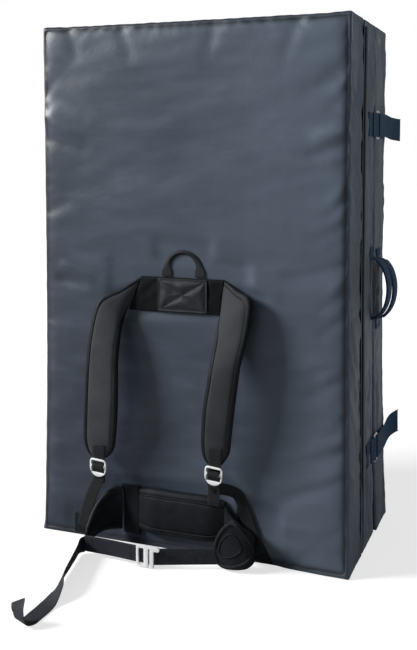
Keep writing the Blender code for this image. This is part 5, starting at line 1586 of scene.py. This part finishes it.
sides = np.cos(turn) * np.array((0, 0, 1)) + np.sin(turn) * np.array(TAIL_FLAT_SIDE)
sides = unit(sides - (sides * ahead).sum(axis=1, keepdims=True) * ahead)
tail_route = rows[:, :3]
tail_rows = np.hstack([tail_route, sides, np.full((len(rows), 1), BELT_WIDTH)])
tail_length = float(run_of(tail_route)[-1])
tail = dressed(webbing(tail_rows, WEBBING), black_webbing)
hem = [tail_route[-4] + sides[-4] * s for s in (-0.014, 0.014)]
tail = sew(tail, [hem], dark_thread, step=0.0026)
settle(tail, "belt_tail_strap", (), "left_fin", ["belt_tail"], smooth=math.radians(50))
print("belt tail", round(tail_length, 3), "m long")

# %% [markdown]
# ## Closures and handles
#
# At the free edges, a webbing anchor holds a metal ring on one panel, and a strap from the next panel runs
# through it and hangs free. Two webbing handles stand out between them. A strap is pulled out of its ring
# before the pad is unfolded, so it stays with the panel that it is sewn to.

# %% Closures
CLOSURE_WIDTH, RING_WIRE, RING_DEPTH = 0.050, 0.0040, 0.024


def side_draw(z):
    v = min(abs(2 * z / PANEL_HEIGHT - 1), 1)
    return SIDE_DRAW * (1 - v * v)


def wire_ring(places, radius, corner):
    """A welded ring: a round section carried round a rectangle with rounded corners."""
    centre = sum(places, Vector()) / 4
    path = []
    for n, p in enumerate(places):
        before, after = ((places[n - 1] - p).normalized(), (places[(n + 1) % 4] - p).normalized())
        bend = p + (before + after) * corner
        for step in range(7):
            angle = math.pi / 2 * step / 6
            path.append(bend - after * corner * math.cos(angle) - before * corner * math.sin(angle))
        path.append((path[-1] + places[(n + 1) % 4] - after * corner) / 2)
    normal = ((places[1] - places[0]).cross(places[2] - places[1])).normalized()
    return round_loop([tuple(p) for p in path], np.array([tuple(normal)] * len(path)), radius)


def closure(name, z, turn, strap_body, gap, tail_length, tail_lift, tail_rise):
    """Anchor, ring and strap. Turn is 1 on the right side, and -1 for the same pieces at the left."""
    side_x, edge, wire = HALF_WIDTH - side_draw(z), HALF_THICKNESS, RING_WIRE / 2
    centre = SEAT_GAP + WEBBING + SEAT_GAP + wire
    front_bar, back_bar = edge - RING_DEPTH / 2, edge + RING_DEPTH / 2

    def place(out, y):
        return Vector((turn * (side_x + out), turn * y, z))

    def turned(bar_y, heading):
        radius = wire + SEAT_GAP + WEBBING / 2
        return [place(centre - math.cos(math.pi * n / 6) * radius,
                      bar_y + heading * math.sin(math.pi * n / 6) * radius)
                for n in range(7)]

    def sewn_box(start, end, near, reach):
        ring = [(start, -near), (end, -near), (end, near), (start, near), (start, -near)]
        lines = [ring, [ring[0], ring[2]], [ring[1], ring[3]]]
        return [[place(reach, y) + Vector((0, 0, rise)) for y, rise in line] for line in lines]

    flat = SEAT_GAP + WEBBING / 2
    outer = centre + wire + SEAT_GAP + WEBBING / 2
    lap_out = flat + WEBBING + SEAT_GAP
    start = front_bar - 0.066
    path = [place(flat, start), place(flat, front_bar - 0.040), place(flat, front_bar - 0.015),
            *turned(front_bar, 1),
            place((outer + lap_out) / 2, front_bar - 0.0075), place(lap_out, front_bar - 0.015),
            place(lap_out, front_bar - 0.030)]
    anchor = webbing(smooth_rows(with_side(path, (0, 0, 1), CLOSURE_WIDTH), 3), WEBBING, columns=8)
    anchor = sew(dressed(anchor, navy_webbing), sewn_box(start + 0.004, front_bar - 0.034, 0.021, 0.02)
                 + sewn_box(front_bar - 0.028, front_bar - 0.017, 0.021, 0.02)[:1], navy_thread)
    settle(anchor, f"{name}_anchor_webbing", (), "middle_panel", [f"{name}_anchor"], smooth=math.radians(60))

    half = CLOSURE_WIDTH / 2 + SEAT_GAP + 0.003
    corners = ((front_bar, -half), (back_bar, -half), (back_bar, half), (front_bar, half))
    ring = wire_ring([place(centre, y) + Vector((0, 0, rise)) for y, rise in corners], wire, 0.003)
    settle(ring, f"{name}_ring_metal", bright_metal, f"{name[:-8]}_ring", [f"{name}_ring"],
           smooth=math.radians(60))

    end = back_bar + 0.088 + gap - 0.010
    path = [place(flat, end), place(flat, (end + back_bar) / 2), place(flat, back_bar + 0.015),
            *turned(back_bar, -1),
            place(outer, back_bar + 0.015), place(outer, back_bar + tail_length * 0.30),
            place(outer, back_bar + tail_length * 0.545),
            place(outer + tail_lift * 0.25, back_bar + tail_length * 0.83),
            place(outer + tail_lift, back_bar + tail_length)]
    path[-2].z += tail_rise * 0.6
    path[-1].z += tail_rise
    strap = webbing(smooth_rows(with_side(path, (0, 0, 1), CLOSURE_WIDTH), 4), WEBBING, columns=8)
    hem = [[place(0.05, back_bar + tail_length - d) + Vector((0, 0, s * 0.021)) for s in (-1, 1)]
           for d in (0.006, 0.014)]
    strap = sew(dressed(strap, navy_webbing), hem, navy_thread)
    settle(strap, f"{name}_strap_webbing", (), strap_body, [f"{name}_strap"], smooth=math.radians(60))
    return strap


for level, z, rise in (("upper", 0.888, -0.008), ("lower", 0.190, 0.022)):
    closure(f"right_{level}_closure", z, 1, "back_panel", 0.010, 0.134, 0.020, rise)
    closure(f"left_{level}_closure", z, -1, "front_panel", 0.016, 0.080, 0.0, 0.0)
print("closures done")

# %% Carry handles
HANDLE_WIDTH, HANDLE_CHORD, HANDLE_FOOT, HANDLE_BOW = 0.038, 0.130, 0.023, 0.037
GRIP_THICKNESS = 0.0064
GRIP_SECTION = ((-1, 0.5, 0), (-0.97, 0.82, 0), (-0.85, 1.0, 0), (-0.4, 1.02, 0), (0, 1.0, 0), (0.4, 1.02, 0),
                (0.85, 1.0, 0), (0.97, 0.82, 0), (1, 0.5, 0), (0.97, 0.18, 0), (0.85, 0, 0), (0, 0, 0),
                (-0.85, 0, 0), (-0.97, 0.18, 0))


def handle(name, y, z, body, node):
    flat = SEAT_GAP + WEBBING / 2

    def on_side(level, lift):
        return (HALF_WIDTH - side_draw(level) + lift, y, level)

    low, high = z - HANDLE_CHORD / 2, z + HANDLE_CHORD / 2
    path = [on_side(low - HANDLE_FOOT, flat), on_side(low - HANDLE_FOOT / 2, flat)]
    for n in range(13):
        angle = math.pi * n / 12
        path.append(on_side(z - HANDLE_CHORD / 2 * math.cos(angle), flat + HANDLE_BOW * math.sin(angle)))
    path += [on_side(high + HANDLE_FOOT / 2, flat), on_side(high + HANDLE_FOOT, flat)]
    rows = smooth_rows(with_side(path, (0, 1, 0), HANDLE_WIDTH), 4)
    bow = dressed(webbing(rows, WEBBING, columns=8), navy_handle)
    held = rows[abs(rows[:, 2] - z) < HANDLE_CHORD * 0.47]
    outward = unit(np.cross((0, 1, 0), np.gradient(held[:, :3], axis=0)) * (1, 0, 1))
    outward *= np.sign(outward[len(outward) // 2, 0])
    half = np.array((0, HANDLE_WIDTH / 2 + 0.0005, 0))
    backs = held[:, :3] - outward * GRIP_THICKNESS / 2
    wrap = [(*(p + half), *(p - half), GRIP_THICKNESS, *o) for p, o in zip(backs, outward)]
    bow = joined(bow, dressed(quilted(wrap, GRIP_SECTION), navy_handle))
    lines = []
    for start, end in ((low - HANDLE_FOOT + 0.003, low - 0.003), (high + 0.003, high + HANDLE_FOOT - 0.003)):
        ring = [(y - 0.015, start), (y + 0.015, start), (y + 0.015, end), (y - 0.015, end),
                (y - 0.015, start)]
        for line in (ring, [ring[0], ring[2]], [ring[1], ring[3]]):
            lines.append([(HALF_WIDTH + 0.01, a, b) for a, b in line])
    bow = sew(bow, lines, navy_thread, step=0.0034)
    return settle(bow, name, (), body, [node], smooth=math.radians(60))


front_bow = handle("middle_handle_webbing", HALF_THICKNESS - 0.031, 0.5415, "middle_panel", "middle_handle")
handle("back_handle_webbing", HALF_THICKNESS + 0.010 + 0.031, 0.532, "back_panel", "back_handle")
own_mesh(front_bow)
print("handles done")

# %% [markdown]
# ## Inside and top of the panels
#
# Each cover holds two foam layers: a thin firm one on the landing side and a thick soft one behind it.
# A zip in the top lets them in. They aren't seen in the photograph, but the zips show from above
# and the foam is there for anyone who takes the pad apart.

# %% Foam layers
CLEAR = 0.0052
FIRM = 0.025
for side, firm_side in (("front", 1), ("middle", -1), ("back", 1)):
    y = PANEL_MIDDLE_Y[side]
    seam = y + firm_side * (HALF_THICKNESS - 0.0012 - FIRM)
    for kind, finish in (("firm", firm_foam), ("soft", soft_foam)):
        outer = y + (firm_side if kind == "firm" else -firm_side) * (HALF_THICKNESS - CLEAR)
        inner = seam + (0.0004 if outer > seam else -0.0004)
        start_clean()
        bpy.ops.mesh.primitive_cube_add(size=1, location=(0, (outer + inner) / 2, PANEL_HEIGHT / 2 - 0.004),
                                        scale=(PANEL_WIDTH - 0.018, abs(outer - inner), PANEL_HEIGHT - 0.024))
        foam = bpy.context.object
        bpy.ops.object.transform_apply(location=True, scale=True)
        bpy.ops.object.mode_set(mode="EDIT")
        bpy.ops.mesh.bevel(offset=0.004, segments=3, affect="EDGES")
        for axis in (0, 2):
            pick("edges", runs_along(axis, 0.3))
            bpy.ops.mesh.subdivide(number_cuts=15)
        bpy.ops.object.mode_set(mode="OBJECT")
        points = points_of(foam)
        sink = 0.0006 * rolling(points, 3.3 + y, (1, 1, 1), 0.12)
        points[:, 1] += np.sign(outer - inner) * (sink - 0.0006) * (abs(points[:, 1] - outer) < 0.0005)
        move_points(foam, points)
        settle(foam, f"{side}_{kind}_foam_layer", finish, f"{side}_panel", [f"{side}_{kind}_foam"])
print("foam layers laid in")

# %% Zips and sliders
ZIP_TOP = PANEL_HEIGHT - TOP_DIP
TOOTH_STEP = 0.0042

start_clean()
bpy.ops.mesh.primitive_cube_add(size=1, scale=(0.0018, 0.0036, 0.0014))
bpy.ops.object.transform_apply(scale=True)
bpy.ops.object.mode_set(mode="EDIT")
bpy.ops.mesh.select_all(action="SELECT")
bpy.ops.mesh.bevel(offset=0.0003, segments=1, affect="EDGES")
bpy.ops.object.mode_set(mode="OBJECT")
tooth = bpy.context.object

start_clean()
bpy.ops.mesh.primitive_cube_add(size=1, location=(0, 0, 0.002), scale=(0.013, 0.009, 0.0036))
slider_form = bpy.context.object
bpy.ops.object.transform_apply(location=True, scale=True)
bpy.ops.object.mode_set(mode="EDIT")
pick("faces", lambda f: f.normal.x > 0.99)
bpy.ops.mesh.inset(thickness=0.0010)
bpy.ops.mesh.extrude_region_move(TRANSFORM_OT_translate={"value": (0.004, 0, 0.0008)})
bpy.ops.mesh.inset(thickness=0.0001)
bpy.ops.mesh.extrude_region_move(TRANSFORM_OT_translate={"value": (0.021, 0, 0.0002)})
bpy.ops.transform.resize(value=(1, 0.8, 0.6))
pick("edges", lambda e: len(e.link_faces) == 2 and e.calc_face_angle() > 0.9 and e.calc_length() > 0.0016)
bpy.ops.mesh.bevel(offset=0.0004, segments=2, affect="EDGES")
bpy.ops.object.mode_set(mode="OBJECT")

for side in ("front", "middle", "back"):
    y = PANEL_MIDDLE_Y[side]
    tape_rows = [(x, y, ZIP_TOP - 0.0006, 0, 1, 0, 0.0172) for x in np.linspace(-0.2596, 0.2596, 60)]
    tape = dressed(webbing(tape_rows, 0.0010, columns=6), zip_tape)
    teeth = []
    for number, x in enumerate(np.arange(-0.256, 0.256, TOOTH_STEP / 2)):
        copy = bpy.data.objects.new("tooth", tooth.data.copy())
        copy.location = (x, y + (0.0009 if number % 2 else -0.0009), ZIP_TOP + 0.0007)
        bpy.context.collection.objects.link(copy)
        teeth.append(copy)
    chain = dressed(joined(*teeth), grey_metal)
    tape = joined(tape, chain)
    settle(tape, f"{side}_zip_chain", (), f"{side}_panel", [f"{side}_zip"])

    copy = bpy.data.objects.new("slider", slider_form.data.copy())
    bpy.context.collection.objects.link(copy)
    copy.location = (0.2535 - 0.013, y, ZIP_TOP + 0.0020)
    settle(copy, f"{side}_zip_pull", grey_metal, f"{side}_slider", [f"{side}_zip_slider"])
bpy.data.objects.remove(tooth)
bpy.data.objects.remove(slider_form)
print("zips and sliders done")

# %% [markdown]
# ## Fabric hinges
#
# The panels are joined by a strip of black cloth that is sewn along the edges of both covers and tucked
# between them. When a panel unfolds, the strip opens like a book.
# The strip is a grid: its middle lies deep in the gap, and its borders wrap round both edges.

# %% Hinge strips
HINGE_INNER, HINGE_CLOTH, HINGE_WRAP = HALF_WIDTH - 0.022, 0.0010, 0.0105
for name, side, fold_y, gap, body in (("front", 1, -0.063, 0.016, "front_panel"),
                                      ("back", -1, 0.060, 0.010, "back_panel")):
    def hinge_place(along, across):
        z = 0.012 + 1.072 * along
        end = np.sign(across - 0.5)
        share = abs(across - 0.5) * 2
        tuck, wall = np.clip(share / 0.15, 0, 1), np.clip((share - 0.15) / 0.55, 0, 1)
        turn = np.clip((share - 0.70) / 0.15, 0, 1) * math.pi / 2
        flap = np.clip((share - 0.85) / 0.15, 0, 1) * (HINGE_WRAP - EDGE_RADIUS)
        edge_x = HALF_WIDTH - SIDE_DRAW * (1 - (2 * z / PANEL_HEIGHT - 1) ** 2)
        radius = EDGE_RADIUS + HINGE_CLOTH / 2 + 0.0006
        x = HINGE_INNER + (edge_x - EDGE_RADIUS - HINGE_INNER) * wall + radius * np.sin(turn)
        out = gap / 2 - crown(x, z) * (1 - np.sin(turn)) - SEAT_GAP - HINGE_CLOTH / 2
        reach = out * tuck + radius * (1 - np.cos(turn)) + flap
        wave = 0.0010 * np.sin(z * 38) * (1 - wall)
        return np.stack([side * (x - wave), fold_y + end * reach, z], 1), np.stack([z, across * 0.1], 1)

    strip = laid_grid(80, 60, hinge_place)
    modify(strip, "SOLIDIFY", thickness=HINGE_CLOTH, offset=0)
    face_outwards(strip)
    settle(strip, f"{name}_hinge_cloth", hinge_cloth, None, [f"{name}_hinge_fabric"], smooth=math.radians(60))
    away = 1 if body == "back_panel" else -1
    fold_y - away * gap * 0.44
    fold_y + away * gap * 0.44
    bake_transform(strip)
print("hinges done")
bpy.data.objects.remove(stitch)
